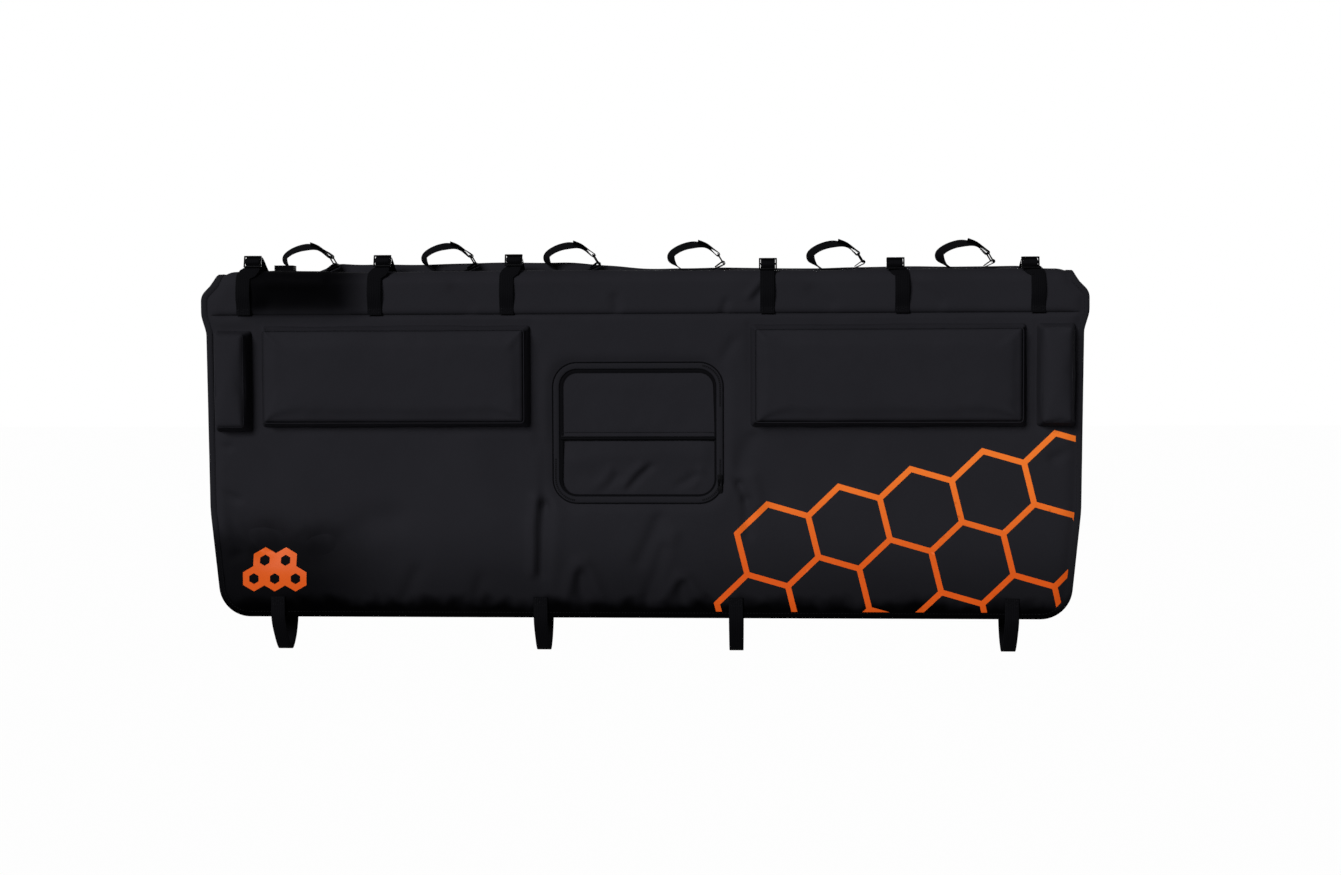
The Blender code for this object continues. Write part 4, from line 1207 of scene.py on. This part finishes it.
def swollen(shape, reach_limit):
    """The block's cover blown up a little from inside, as foam fills it, by a short simulation."""
    mesh = as_mesh("block", shape)
    obj = in_scene("block", mesh)
    before = [vert.co.copy() for vert in mesh.vertices]
    back = [vert.index for vert in mesh.vertices if vert.co.y > -FACE_Y - 0.008]
    group = obj.vertex_groups.new(name="sewn")
    group.add(back, 1.0, "REPLACE")
    cloth = obj.modifiers.new("cover", "CLOTH")
    cloth.settings.use_pressure = True
    cloth.settings.uniform_pressure_force = 4
    cloth.settings.vertex_group_mass = "sewn"
    cloth.settings.effector_weights.gravity = 0
    cloth.settings.tension_stiffness = 25
    cloth.settings.compression_stiffness = 25
    cloth.settings.quality = 6
    cloth.collision_settings.use_collision = False
    for number in range(1, 21):
        bpy.context.scene.frame_set(number)
    graph = bpy.context.evaluated_depsgraph_get()
    after = bpy.data.meshes.new_from_object(obj.evaluated_get(graph))
    result = bmesh.new()
    result.from_mesh(after)
    for vert, start in zip(result.verts, before):
        move = vert.co - start
        if move.length > reach_limit:
            vert.co = start + move * reach_limit / move.length
    bpy.data.objects.remove(obj)
    bpy.data.meshes.remove(after)
    bpy.data.meshes.remove(mesh)
    bpy.context.scene.frame_set(1)
    return result


def block_trim(x, z, width):
    """Piping seam round the block's face."""
    y = -FACE_Y - BLOCK_THICKNESS + 0.0050
    seam = oblong(0, 0, width + 0.0024, BLOCK_HEIGHT + 0.0024, 0.006)
    return wire(wire_points(seam, x, z, y), 0.0007, True, 6)


def foam_blocks():
    """The four foam blocks, each with its trim."""
    puff = bpy.context.scene.pad_cloth.puff
    for name, x, z, width in block_places():
        shape = block_shape(x, z, width)
        shape = swollen(shape, puff)
        piece(name + "_cover", shape, "coated_cloth", [name], sharp=60)
        piece(name + "_seam", block_trim(x, z, width), "coated_cloth")


def headings(points):
    """Points of an open path as vectors, and the path's direction at each."""
    points = [Vector(point) for point in points]
    before = points[:1] + points[:-1]
    after = points[1:] + points[-1:]
    return points, [(ahead - behind).normalized() for behind, ahead in zip(before, after)]


def smooth(points, steps=8):
    """Points along a smooth curve through the given ones."""
    points, along = headings(points)
    path = [points[0]]
    for start, end, leave, arrive in zip(points, points[1:], along, along[1:]):
        length = (end - start).length
        pull = length / 3
        count = max(2, min(steps, math.ceil(length / 0.0012)))
        first = (start + leave * pull).to_3d()
        second = (end - arrive * pull).to_3d()
        curve = interpolate_bezier(start.to_3d(), first, second, end.to_3d(), count + 1)
        path += [point.to_2d() for point in curve[1:]]
    return path


def arc(centre, radius, start, end, steps):
    """Points on an arc from one angle to another, in degrees."""
    points = []
    for step in range(steps + 1):
        angle = math.radians(start + (end - start) * step / steps)
        points.append((centre[0] + radius * math.cos(angle), centre[1] + radius * math.sin(angle)))
    return points


def beside(points, distance):
    """An open path moved to its left by a distance."""
    return [point + Vector((-along.y, along.x)) * distance for point, along in zip(*headings(points))]


def web(name, points, node, across=(1, 0, 0)):
    """A piece of webbing whose middle follows points, with its width along the across vectors."""
    points = np.array(points, float)
    across = np.broadcast_to(np.array(across, float), points.shape)
    ahead = unit(np.gradient(points, axis=0))
    normal = unit(np.cross(ahead, across))
    across = np.cross(normal, ahead)
    thin = WEB_THICKNESS / 2
    half = WEB_WIDTH / 2 - thin
    section = []
    for side, start in ((1, -90), (-1, 90)):
        for angle in range(start, start + 181, 45):
            turned = math.radians(angle)
            section.append((side * half + thin * math.cos(turned), thin * math.sin(turned)))
        section += [(side * half * share, side * thin) for share in (0.5, 0, -0.5)]
    rings = np.empty((len(points), len(section), 3))
    for index, (out, up) in enumerate(section):
        rings[:, index] = points + across * out + normal * up
    piece(name, lofted(rings), "black_webbing", [node])


def threaded_through_slide():
    """Side view of webbing woven through a slide, as (up, forward) from the slide's middle."""
    forward = (BUCKLE_DEPTH + WEB_THICKNESS) / 2 + SLIDE_GAP
    slot_up = (MIDDLE_BAR + SLOT) / 2
    rising = [
        (-BUCKLE_HEIGHT / 2, -forward),
        (-slot_up - SLOT_BEND * SLOT, -forward),
        (-slot_up, 0),
        (-slot_up + SLOT_BEND * SLOT, forward),
    ]
    over = [(0, BAR_CLEARANCE * forward)]
    falling = [(-up, out) for up, out in reversed(rising)]
    return rising + over + falling


def slide(middle, tilt):
    """A three-bar slide with rounded bars and ridges, leaning back by tilt."""
    shape = bmesh.new()
    place = Matrix.Translation(middle) @ Matrix.Rotation(math.pi / 2 - tilt, 4, "X")
    inner = BUCKLE_WIDTH - SIDE_RAIL
    for side in (-1, 1):
        rail = place @ Matrix.Translation((side * inner / 2, 0, 0))
        rounded_box(shape, (SIDE_RAIL, BUCKLE_HEIGHT, BUCKLE_DEPTH), rail, 0.0009)
    for up, bar in ((0, MIDDLE_BAR), (1, OUTER_BAR), (-1, OUTER_BAR)):
        rise = up * (BUCKLE_HEIGHT - OUTER_BAR) / 2
        beam = place @ Matrix.Translation((0, rise, 0))
        rounded_box(shape, (BUCKLE_WIDTH - 0.001, bar, BUCKLE_DEPTH * 0.96), beam, 0.0009)
        if up:
            for step in range(-5, 6):
                ridge = beam @ Matrix.Translation((step * 0.0024, 0, BUCKLE_DEPTH / 2))
                size = Matrix.Diagonal((0.0010, bar * 0.8, 0.0008, 1))
                bmesh.ops.create_cube(shape, size=1, matrix=ridge @ size)
    return shape


def crest_share(z):
    """How far a frame strap has moved sideways at this height, as a share of its lean."""
    return smooth_step((z - 0.003) / PAD_THICKNESS)


def box_stitch(shape, centre, half_along, half_up, normal):
    """A sewn oblong with its two diagonals, from its middle and two half sides."""
    along, up, normal = Vector(half_along), Vector(half_up), Vector(normal)
    corners = [
        Vector(centre) + along * right + up * rise for right, rise in ((-1, -1), (1, -1), (1, 1), (-1, 1))
    ]
    lines = list(zip(corners, corners[1:] + corners[:1]))
    lines += [(corners[0], corners[2]), (corners[1], corners[3])]
    for start, end in lines:
        count = max(2, round((end - start).length / STITCH_LENGTH))
        for step in range(count):
            middle = start.lerp(end, (step + 0.5) / count)
            stitch(shape, middle, end - start, normal, STITCH_LENGTH * 0.7)


def frame_strap(number, x, rise, lean):
    """Webbing from the seam, through its slide on the crest, and down the back flap."""
    top_z = PAD_THICKNESS + rise
    seat_y = FACE_Y + WEB_SEAT
    middle = Vector((-FACE_Y + BUCKLE_STEP_BACK, top_z - BUCKLE_HEIGHT * BUCKLE_BELOW_TOP))
    up = Vector((math.sin(BUCKLE_TILT), math.cos(BUCKLE_TILT)))
    forward = Vector((-up.y, up.x))
    woven = [middle + up * along + forward * out for along, out in threaded_through_slide()]
    arch = [(FACE_Y * back, PAD_THICKNESS + rise * up) for back, up in FRAME_STRAP_ARCH]
    path = smooth([
        (-seat_y, SEAM_Z + FIT_GAP),
        (-seat_y, SEAM_Z + FRAME_STRAP_SEWN),
        (-seat_y - FRAME_STRAP_BULGE, SHOULDER_Z),
        (-seat_y - FRAME_STRAP_BULGE / 3, -FOLD_RADIUS / 2),
        *woven,
        *arch,
        (seat_y + FRAME_STRAP_BACK_SLACK, -FOLD_RADIUS / 2),
        (seat_y, SHOULDER_Z),
        (seat_y, -FRAME_STRAP_TAIL),
    ])
    points = []
    for y, z in path:
        share = crest_share(z if y < 0 else 1)
        bow = 4 * share * (1 - share) * (FIRST_STRAP_BOW if number == 1 else STRAP_BOW)
        points.append((x + lean * share - bow, y, z))
    web(f"frame_web_{number}", points, f"frame_strap_{number}")
    buckle = slide((x + lean, middle.x, middle.y), BUCKLE_TILT)
    piece(f"frame_slide_{number}", buckle, "moulded_plastic", [f"strap_buckle_{number}"])
    thread = bmesh.new()
    for side, z in ((-1, SEAM_Z + FRAME_STRAP_SEWN * 0.62), (1, -FRAME_STRAP_TAIL + 0.012)):
        y = side * (seat_y + WEB_THICKNESS / 2)
        height = FRAME_STRAP_SEWN * 0.28 if side < 0 else 0.009
        place = (x + (lean if side > 0 else 0), y, z)
        box_stitch(thread, place, (BOX_STITCH_HALF, 0, 0), (0, 0, height), (0, side, 0))
    piece(f"frame_stitch_{number}", thread, "black_webbing", surface="thread")


def frame_straps():
    """The six frame straps, slack on the left and snug on the right."""
    places = [(group, step) for group in STRAP_GROUPS_X for step in (-1, 0, 1)]
    for number, ((group, step), lean) in enumerate(zip(places, FRAME_STRAP_LEANS), 1):
        rise = SLACK_RISE if group < 0 else SNUG_RISE
        frame_strap(number, group + step * STRAP_PITCH, rise, lean)


def cinch_loop(number, x):
    """A loop of webbing sewn to the crest, closed through a wire ring at its right end."""
    wrap = (RING_WIRE + WEB_THICKNESS) / 2 + RING_CLEARANCE
    half = LOOP_LENGTH / 2
    low_bar = Vector((half - RING_WIRE / 2, LOOP_TIP))
    ring_up = Vector((math.cos(RING_TILT), math.sin(RING_TILT)))
    high_bar = low_bar + ring_up * RING_HEIGHT
    end = LOOP_BASE / 2
    sewn = [(along, WEB_SEAT) for along in (end, end - LAST_STITCH, LAST_STITCH - end, -end)]
    step = WEB_THICKNESS + LAYER_GAP
    tab_end = (LOOP_BASE * LOOP_TAB[0], LOOP_TIP * LOOP_TAB[1] + step)
    tab = [tab_end, *arc(low_bar, wrap, 110, -70, 4)]
    foot = [(half * along, LOOP_HEIGHT * up) for along, up in LOOP_FOOT]
    arch = [(half * along, LOOP_HEIGHT * up) for along, up in LOOP_ARCH]
    round_ring = arc(high_bar, wrap, -130, 50, 4)
    folded_back = beside(list(reversed(arch[2:])), -step * LOOP_FOLD_BACK)
    path = smooth([*tab, *sewn, *foot, *arch, *round_ring, *folded_back])
    points = np.array([(x + along, 0, PAD_THICKNESS + up) for along, up in path])
    ahead = unit(np.gradient(points, axis=0))
    raised = smooth_step((points[:, 2] - PAD_THICKNESS - 0.006) / 0.016)
    leftward = smooth_step((x + half * 0.75 - points[:, 0]) / half)
    twist = LOOP_TWIST * (raised * leftward)[:, None]
    upright = np.cross(ahead, (0, 1, 0))
    across = np.cos(twist) * np.array((0, 1, 0)) + np.sin(twist) * upright
    web(f"loop_web_{number}", points, f"downtube_strap_{number}", across)
    middle = (low_bar + high_bar) / 2
    ring_width = WEB_WIDTH + RING_WIRE + 2 * SLIDE_GAP
    corners = []
    for point in oblong(0, 0, RING_HEIGHT, ring_width, RING_CORNER):
        spot = middle + ring_up * point.x
        corners.append(Vector((x + spot.x, point.y, PAD_THICKNESS + spot.y)))
    ring = wire(corners, RING_WIRE / 2, True, 12)
    piece(f"loop_ring_{number}", ring, "moulded_plastic", [f"strap_ring_{number}"])
    thread = bmesh.new()
    for side in (-1, 1):
        centre = (x + side * 0.014, 0, PAD_THICKNESS + FIT_GAP + WEB_THICKNESS)
        box_stitch(thread, centre, (0.009, 0, 0), (0, 0.0095, 0), (0, 0, 1))
    piece(f"loop_stitch_{number}", thread, "black_webbing", surface="thread")


def cinch_loops():
    """The six loops, and the folded end of webbing beside the first."""
    for number, x in enumerate(LOOP_PLACES, 1):
        cinch_loop(number, x)
    shape = bmesh.new()
    for layer in range(KEEPER_LAYERS):
        z = PAD_THICKNESS + FIT_GAP + (layer + 0.5) * KEEPER_PITCH
        place = Matrix.Translation((KEEPER_X, 0, z))
        rounded_box(shape, (KEEPER_LENGTH, WEB_WIDTH, 0.0019), place, 0.0007)
    piece("folded_keeper", shape, "black_webbing")


def wrap_radius(bar):
    """Radius at which webbing turns round a slide's bar and clears its corners."""
    return math.hypot(bar / 2, BUCKLE_DEPTH / 2) + WEB_THICKNESS / 2 + LAYER_GAP * 0.6


def lower_strap(number, x):
    """Webbing from the foot of the front panel, under the tailgate, up to its slide."""
    seat_y = FACE_Y + WEB_SEAT
    edge_y = TAILGATE_GAP / 2 + TAPE_FACE + WEB_SEAT
    inner_y = TAILGATE_GAP / 2 + 2 * WEB_SEAT + TAPE_THICKNESS
    turn = wrap_radius(MIDDLE_BAR)
    buckle_y = edge_y + wrap_radius(OUTER_BAR) + FIT_GAP
    buckle_z = FLAP_FOOT_Z - BUCKLE_DROP
    depth = FOOT_Z - LOWER_STRAP_BOTTOM_Z
    hang = buckle_z - BUCKLE_HEIGHT
    arch = [(edge_y * back, FOOT_Z - depth * down) for back, down in LOWER_STRAP_ARCH]
    path = smooth([
        (-seat_y, LOWER_STRAP_TOP_Z),
        (-seat_y, FOOT_Z + SEWN_MARGIN + 0.010),
        (-edge_y - LOWER_STRAP_FRONT_SLACK, FOOT_Z - depth * LOWER_STRAP_START),
        *arch,
        (inner_y, FOOT_Z),
        (inner_y, FOOT_Z * 3 / 4 + hang / 4),
        (inner_y, FOOT_Z / 4 + hang * 3 / 4),
        (buckle_y - turn, hang + BUCKLE_HEIGHT / 2),
        *arc((buckle_y, buckle_z), turn, 180, 0, 6),
        (buckle_y + turn, buckle_z - BUCKLE_HEIGHT / 2),
        (buckle_y + TAIL_LEAN * turn, buckle_z - LOWER_STRAP_TAIL),
    ], 12)
    web(f"lower_web_{number}", [(x, y, z) for y, z in path], f"lower_strap_{number}")
    buckle = slide((x, buckle_y, buckle_z), 0)
    piece(f"lower_slide_{number}", buckle, "moulded_plastic", [f"lower_buckle_{number}"])
    buckle_tab(number, x, buckle_y, buckle_z)


def buckle_tab(number, x, buckle_y, buckle_z):
    """The tab that holds a lower slide to the back flap, and the stitches of strap and tab."""
    seat_y = FACE_Y + WEB_SEAT
    bar = (buckle_y, buckle_z + (BUCKLE_HEIGHT - OUTER_BAR) / 2)
    wrap = wrap_radius(OUTER_BAR)
    crown_z = FLAP_FOOT_Z + SEWN_MARGIN + 0.010
    outer_y = seat_y + WEB_THICKNESS + LAYER_GAP
    path = smooth([
        (seat_y, TAB_TOP_Z),
        (seat_y, crown_z),
        *arc(bar, wrap, 180, 360, 6),
        (max(outer_y, bar[0] + wrap), crown_z),
        (outer_y, TAB_TOP_Z - FIT_GAP),
    ])
    web(f"tab_web_{number}", [(x, y, z) for y, z in path], f"buckle_tab_{number}")
    thread = bmesh.new()
    front = (x, -seat_y - WEB_THICKNESS / 2, LOWER_STRAP_TOP_Z - 0.0085)
    box_stitch(thread, front, (BOX_STITCH_HALF, 0, 0), (0, 0, 0.006), (0, -1, 0))
    back = (x, outer_y + WEB_THICKNESS / 2, TAB_TOP_Z - 0.010)
    box_stitch(thread, back, (BOX_STITCH_HALF, 0, 0), (0, 0, 0.0075), (0, 1, 0))
    piece(f"lower_stitch_{number}", thread, "black_webbing", surface="thread")


def lower_straps():
    """The four lower straps with their slides and tabs."""
    for number, x in enumerate(LOWER_STRAP_PLACES, 1):
        lower_strap(number, x)


def hexagon(centre, radius, tilt):
    """Outline of a hexagon, anticlockwise."""
    corners = []
    for corner in range(6):
        angle = tilt + math.pi / 3 * corner + math.pi / 6
        corners.append(centre + Vector((math.cos(angle), math.sin(angle))) * radius)
    return corners


def cell_centres(start, cell, tilt, cells):
    """Centres of honeycomb cells, given as (along, up) steps from a starting cell."""
    pitch = cell * math.sqrt(3)
    along = Vector((math.cos(tilt), math.sin(tilt))) * pitch
    up = Matrix.Rotation(math.pi / 3, 2) @ along
    return [Vector(start) + along * right + up * rise for right, rise in cells]


def plate(outline, half):
    """A flat solid of this half thickness inside an outline."""
    shape = bmesh.new()
    rim = [shape.verts.new((point.x, point.y, -half)) for point in outline]
    bmesh.ops.contextual_create(shape, geom=rim)
    made = bmesh.ops.extrude_face_region(shape, geom=shape.faces[:])
    top = [item for item in made["geom"] if isinstance(item, bmesh.types.BMVert)]
    bmesh.ops.translate(shape, verts=top, vec=(0, 0, 2 * half))
    bmesh.ops.recalc_face_normals(shape, faces=shape.faces)
    return shape


def combined(first, second, operation):
    """Two solids joined, cut or intersected."""
    objects = [in_scene("helper", as_mesh("helper", solid)) for solid in (first, second)]
    joint = objects[0].modifiers.new("joint", "BOOLEAN")
    joint.operation = operation
    joint.object = objects[1]
    bpy.context.view_layer.update()
    graph = bpy.context.evaluated_depsgraph_get()
    mesh = bpy.data.meshes.new_from_object(objects[0].evaluated_get(graph))
    result = bmesh.new()
    result.from_mesh(mesh)
    bpy.data.meshes.remove(mesh)
    for obj in objects:
        bpy.data.objects.remove(obj)
    return result


def honeycomb(centres, cell, line, tilt, hole):
    """A flat net of hexagons that share their sides, with a hole of this radius in each."""
    outer = cell + line / math.sqrt(3)
    shape = None
    for centre in centres:
        part = plate(hexagon(centre, outer, tilt), FILM_THICKNESS)
        shape = combined(shape, part, "UNION") if shape else part
    gaps = bmesh.new()
    for centre in centres:
        join(gaps, plate(hexagon(centre, hole, tilt), 2 * FILM_THICKNESS))
    return combined(shape, gaps, "DIFFERENCE")


def trim(shape, outline):
    """Cuts a flat film off along the stretch of an outline that bounds it below and to the right."""
    for start, end in zip(outline, outline[1:] + outline[:1]):
        along = end - start
        if min(start.y, end.y) < 2 * SEAM_Z and start.x + end.x > -0.1:
            halved(shape, start.to_3d(), (along.y, -along.x, 0), clear=True)


def laid_film(name, shape, node, cover, step, outline=None):
    """Cuts a flat film, drawn in x and z, into small faces and lays it on the cover's cloth."""
    low = [face for face in shape.faces if face.normal.z < 0.5]
    bmesh.ops.delete(shape, geom=low, context="FACES")
    bmesh.ops.translate(shape, verts=shape.verts, vec=(0, 0, -FILM_THICKNESS))
    if outline:
        trim(shape, outline)
    for axis in (0, 1):
        values = [vert.co[axis] for vert in shape.verts]
        sliced(shape, axis, min(values), max(values), step)
    bmesh.ops.triangulate(shape, faces=shape.faces)
    skin = BVHTree.FromObject(cover, bpy.context.evaluated_depsgraph_get())
    for vert in shape.verts:
        hit = skin.ray_cast(Vector((vert.co.x, -0.3, vert.co.y)), Vector((0, 1, 0)), 0.3)[0]
        y = hit.y if hit else -FACE_Y
        vert.co = (vert.co.x, y - FILM_CLEAR, vert.co.y)
    bmesh.ops.recalc_face_normals(shape, faces=shape.faces)
    if sum(face.normal.y for face in shape.faces) > 0:
        bmesh.ops.reverse_faces(shape, faces=shape.faces)
    bmesh.ops.solidify(shape, geom=shape.faces[:], thickness=FILM_SKIN)
    piece(name, shape, "orange_film", [node], sharp=60)


def films():
    """The honeycomb net and the small patch of cells, laid on the front panel's cloth."""
    cover = bpy.data.objects["front_cover"]
    rows = ((0, 0, 5), (-1, 0, 6), (-2, 2, 7))
    cells = [(along, up) for up, first, last in rows for along in range(first, last)]
    centres = cell_centres(FILM_START, FILM_CELL, FILM_TILT, cells)
    hole = FILM_CELL - FILM_LINE / math.sqrt(3)
    net = honeycomb(centres, FILM_CELL, FILM_LINE, FILM_TILT, hole)
    edge = [Vector((point.x, point.y - front_flat(0))) for point in pad_outline()]
    laid_film("film_net", net, "graphic_outline", cover, FILM_STEP, grown(edge, -TAPE_WIDTH - 0.0006))
    centres = cell_centres(BADGE_START, BADGE_CELL, 0, [(0, 0), (1, 0), (2, 0), (0, 1), (1, 1)])
    badge = honeycomb(centres, BADGE_CELL, BADGE_JOIN, 0, BADGE_CELL * BADGE_CUT)
    laid_film("film_badge", badge, "graphic_badge", cover, BADGE_STEP)


def stage():
    """Pale floor, white backdrop, a soft sun, two lamps and the camera of the photograph."""
    settings = bpy.context.scene.pad_stage
    shape = bmesh.new()
    bmesh.ops.create_grid(shape, x_segments=1, y_segments=1, size=60)
    bmesh.ops.translate(shape, verts=shape.verts, vec=(0, 0, settings.floor_z))
    mesh = as_mesh("floor", shape)
    mesh.materials.append(floor_finish())
    in_scene("floor", mesh)
    white_world()
    sun = bpy.data.lights.new("key", "SUN")
    sun.energy = settings.sun_strength
    sun.angle = math.radians(SUN_ANGLE)
    in_scene("key", sun).matrix_world = facing(Vector(SUN_FROM))
    lamp("fill", (0.3, -3.4, 0.2), (0, 0, -0.3), 1.6, 1.2, settings.lamp_power * 0.06)
    lamp("back", (0.3, 3.4, 0.2), (0, 0, -0.3), 1.6, 1.0, settings.lamp_power * 1.2)
    camera = in_scene("camera", bpy.data.cameras.new("camera"))
    place = Matrix.Translation(CAMERA_PLACE)
    for axis, degrees in CAMERA_TURN:
        place = place @ Matrix.Rotation(math.radians(degrees), 4, axis)
    camera.matrix_world = place
    camera.data.lens = CAMERA_LENS
    camera.data.sensor_width = CAMERA_SENSOR
    bpy.context.scene.camera = camera
    bpy.context.scene.view_settings.view_transform = "Standard"


def facing(away):
    """The turn that makes a lamp shine against a direction."""
    return away.to_track_quat("Z", "Y").to_matrix().to_4x4()


def lamp(name, place, target, width, height, power):
    """A large soft lamp that faces a target."""
    light = bpy.data.lights.new(name, "AREA")
    light.shape = "RECTANGLE"
    light.size = width
    light.size_y = height
    light.energy = power
    turn = facing(Vector(place) - Vector(target))
    in_scene(name, light).matrix_world = Matrix.Translation(place) @ turn


def seen_directly(tree):
    """1 where the camera, a reflection or a view through something sees the surface."""
    path = tree.nodes.new("ShaderNodeLightPath")
    total = path.outputs["Is Camera Ray"]
    for other in ("Is Glossy Ray", "Is Transmission Ray"):
        either = tree.nodes.new("ShaderNodeMath")
        either.operation = "MAXIMUM"
        tree.links.new(total, either.inputs[0])
        tree.links.new(path.outputs[other], either.inputs[1])
        total = either.outputs[0]
    return total


def floor_finish():
    """Pale floor that reads white and keeps a faint shadow."""
    finish = Finish("pale_floor", 0.9, 0.1)
    finish.surface.inputs["Base Color"].default_value = (0.3, 0.3, 0.3, 1)
    glow = finish.node("ShaderNodeEmission", {}, {"Color": (1, 1, 1, 1)})
    share = Field(finish, seen_directly(finish.tree)) * 0.985
    own, white = (Field(finish, node.outputs[0]) for node in (finish.surface, glow))
    mix = finish.node("ShaderNodeMixShader", {}, {0: share, 1: own, 2: white})
    output = finish.tree.nodes["Material Output"]
    finish.tree.links.new(mix.outputs[0], output.inputs["Surface"])
    return finish.material


def white_world():
    """White where it is seen, and a weaker even light on the object."""
    world = bpy.data.worlds.new("studio")
    bpy.context.scene.world = world
    world.use_nodes = True
    tree = world.node_tree
    back = tree.nodes["Background"]
    back.inputs["Color"].default_value = (1, 1, 1, 1)
    white = tree.nodes.new("ShaderNodeBackground")
    white.inputs["Color"].default_value = (1, 1, 1, 1)
    back.inputs["Strength"].default_value = 0.05
    mix = tree.nodes.new("ShaderNodeMixShader")
    tree.links.new(seen_directly(tree), mix.inputs[0])
    tree.links.new(back.outputs[0], mix.inputs[1])
    tree.links.new(white.outputs[0], mix.inputs[2])
    tree.links.new(mix.outputs[0], tree.nodes["World Output"].inputs["Surface"])


class PAD_OT_cover(bpy.types.Operator):
    """Make the padded front panel and the band over the tailgate"""

    bl_idname = "pad.cover"
    bl_label = "Padded cover"

    def execute(self, context):
        padded_covers()
        return {"FINISHED"}


class PAD_OT_tape(bpy.types.Operator):
    """Make the tape round the rim, and the window's tape and zip"""

    bl_idname = "pad.tape"
    bl_label = "Binding and zip"

    def execute(self, context):
        rim_tape()
        window_tape()
        zip_slider()
        return {"FINISHED"}


class PAD_OT_flaps(bpy.types.Operator):
    """Make the two cloth flaps in the window"""

    bl_idname = "pad.flaps"
    bl_label = "Window flaps"

    def execute(self, context):
        access_flaps()
        return {"FINISHED"}


class PAD_OT_blocks(bpy.types.Operator):
    """Make the four raised foam blocks"""

    bl_idname = "pad.blocks"
    bl_label = "Foam blocks"

    def execute(self, context):
        foam_blocks()
        return {"FINISHED"}


class PAD_OT_frame_straps(bpy.types.Operator):
    """Make the six frame straps with their slides"""

    bl_idname = "pad.frame_straps"
    bl_label = "Frame straps"

    def execute(self, context):
        frame_straps()
        return {"FINISHED"}


class PAD_OT_loops(bpy.types.Operator):
    """Make the six cinch loops with their rings"""

    bl_idname = "pad.loops"
    bl_label = "Cinch loops"

    def execute(self, context):
        cinch_loops()
        return {"FINISHED"}


class PAD_OT_lower_straps(bpy.types.Operator):
    """Make the four lower straps with their slides and tabs"""

    bl_idname = "pad.lower_straps"
    bl_label = "Lower straps"

    def execute(self, context):
        lower_straps()
        return {"FINISHED"}


class PAD_OT_films(bpy.types.Operator):
    """Lay the orange films on the front cover, which has to be there"""

    bl_idname = "pad.films"
    bl_label = "Orange films"

    def execute(self, context):
        films()
        return {"FINISHED"}


class PAD_OT_stage(bpy.types.Operator):
    """Set up the floor, the lamps and the camera"""

    bl_idname = "pad.stage"
    bl_label = "Stage"

    def execute(self, context):
        stage()
        return {"FINISHED"}


class PAD_PT_panel(bpy.types.Panel):
    """Sizes, colours and steps of the bike pad"""

    bl_idname = "PAD_PT_panel"
    bl_label = "Bike Pad"
    bl_space_type = "VIEW_3D"
    bl_region_type = "UI"
    bl_category = "Bike Pad"

    def draw(self, context):
        for group in (context.scene.pad_cloth, context.scene.pad_trim, context.scene.pad_stage):
            box = self.layout.box()
            for name in group.__annotations__:
                box.prop(group, name)
        for step in STEPS:
            self.layout.operator(step.bl_idname)


GROUPS = {"pad_cloth": PadCloth, "pad_trim": PadTrim, "pad_stage": PadStage}
STEPS = (
    PAD_OT_cover,
    PAD_OT_tape,
    PAD_OT_flaps,
    PAD_OT_blocks,
    PAD_OT_frame_straps,
    PAD_OT_loops,
    PAD_OT_lower_straps,
    PAD_OT_films,
    PAD_OT_stage,
)


def register():
    for made in (*GROUPS.values(), *STEPS, PAD_PT_panel):
        bpy.utils.register_class(made)
    for name, group in GROUPS.items():
        setattr(bpy.types.Scene, name, PointerProperty(type=group))


def unregister():
    for name in GROUPS:
        delattr(bpy.types.Scene, name)
    for made in reversed((*GROUPS.values(), *STEPS, PAD_PT_panel)):
        bpy.utils.unregister_class(made)


def main():
    """Makes every piece and the stage."""
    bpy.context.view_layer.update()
    register()
    for step in STEPS:
        group, name = step.bl_idname.split(".")
        getattr(getattr(bpy.ops, group), name)()


if __name__ == "__main__":
    main()
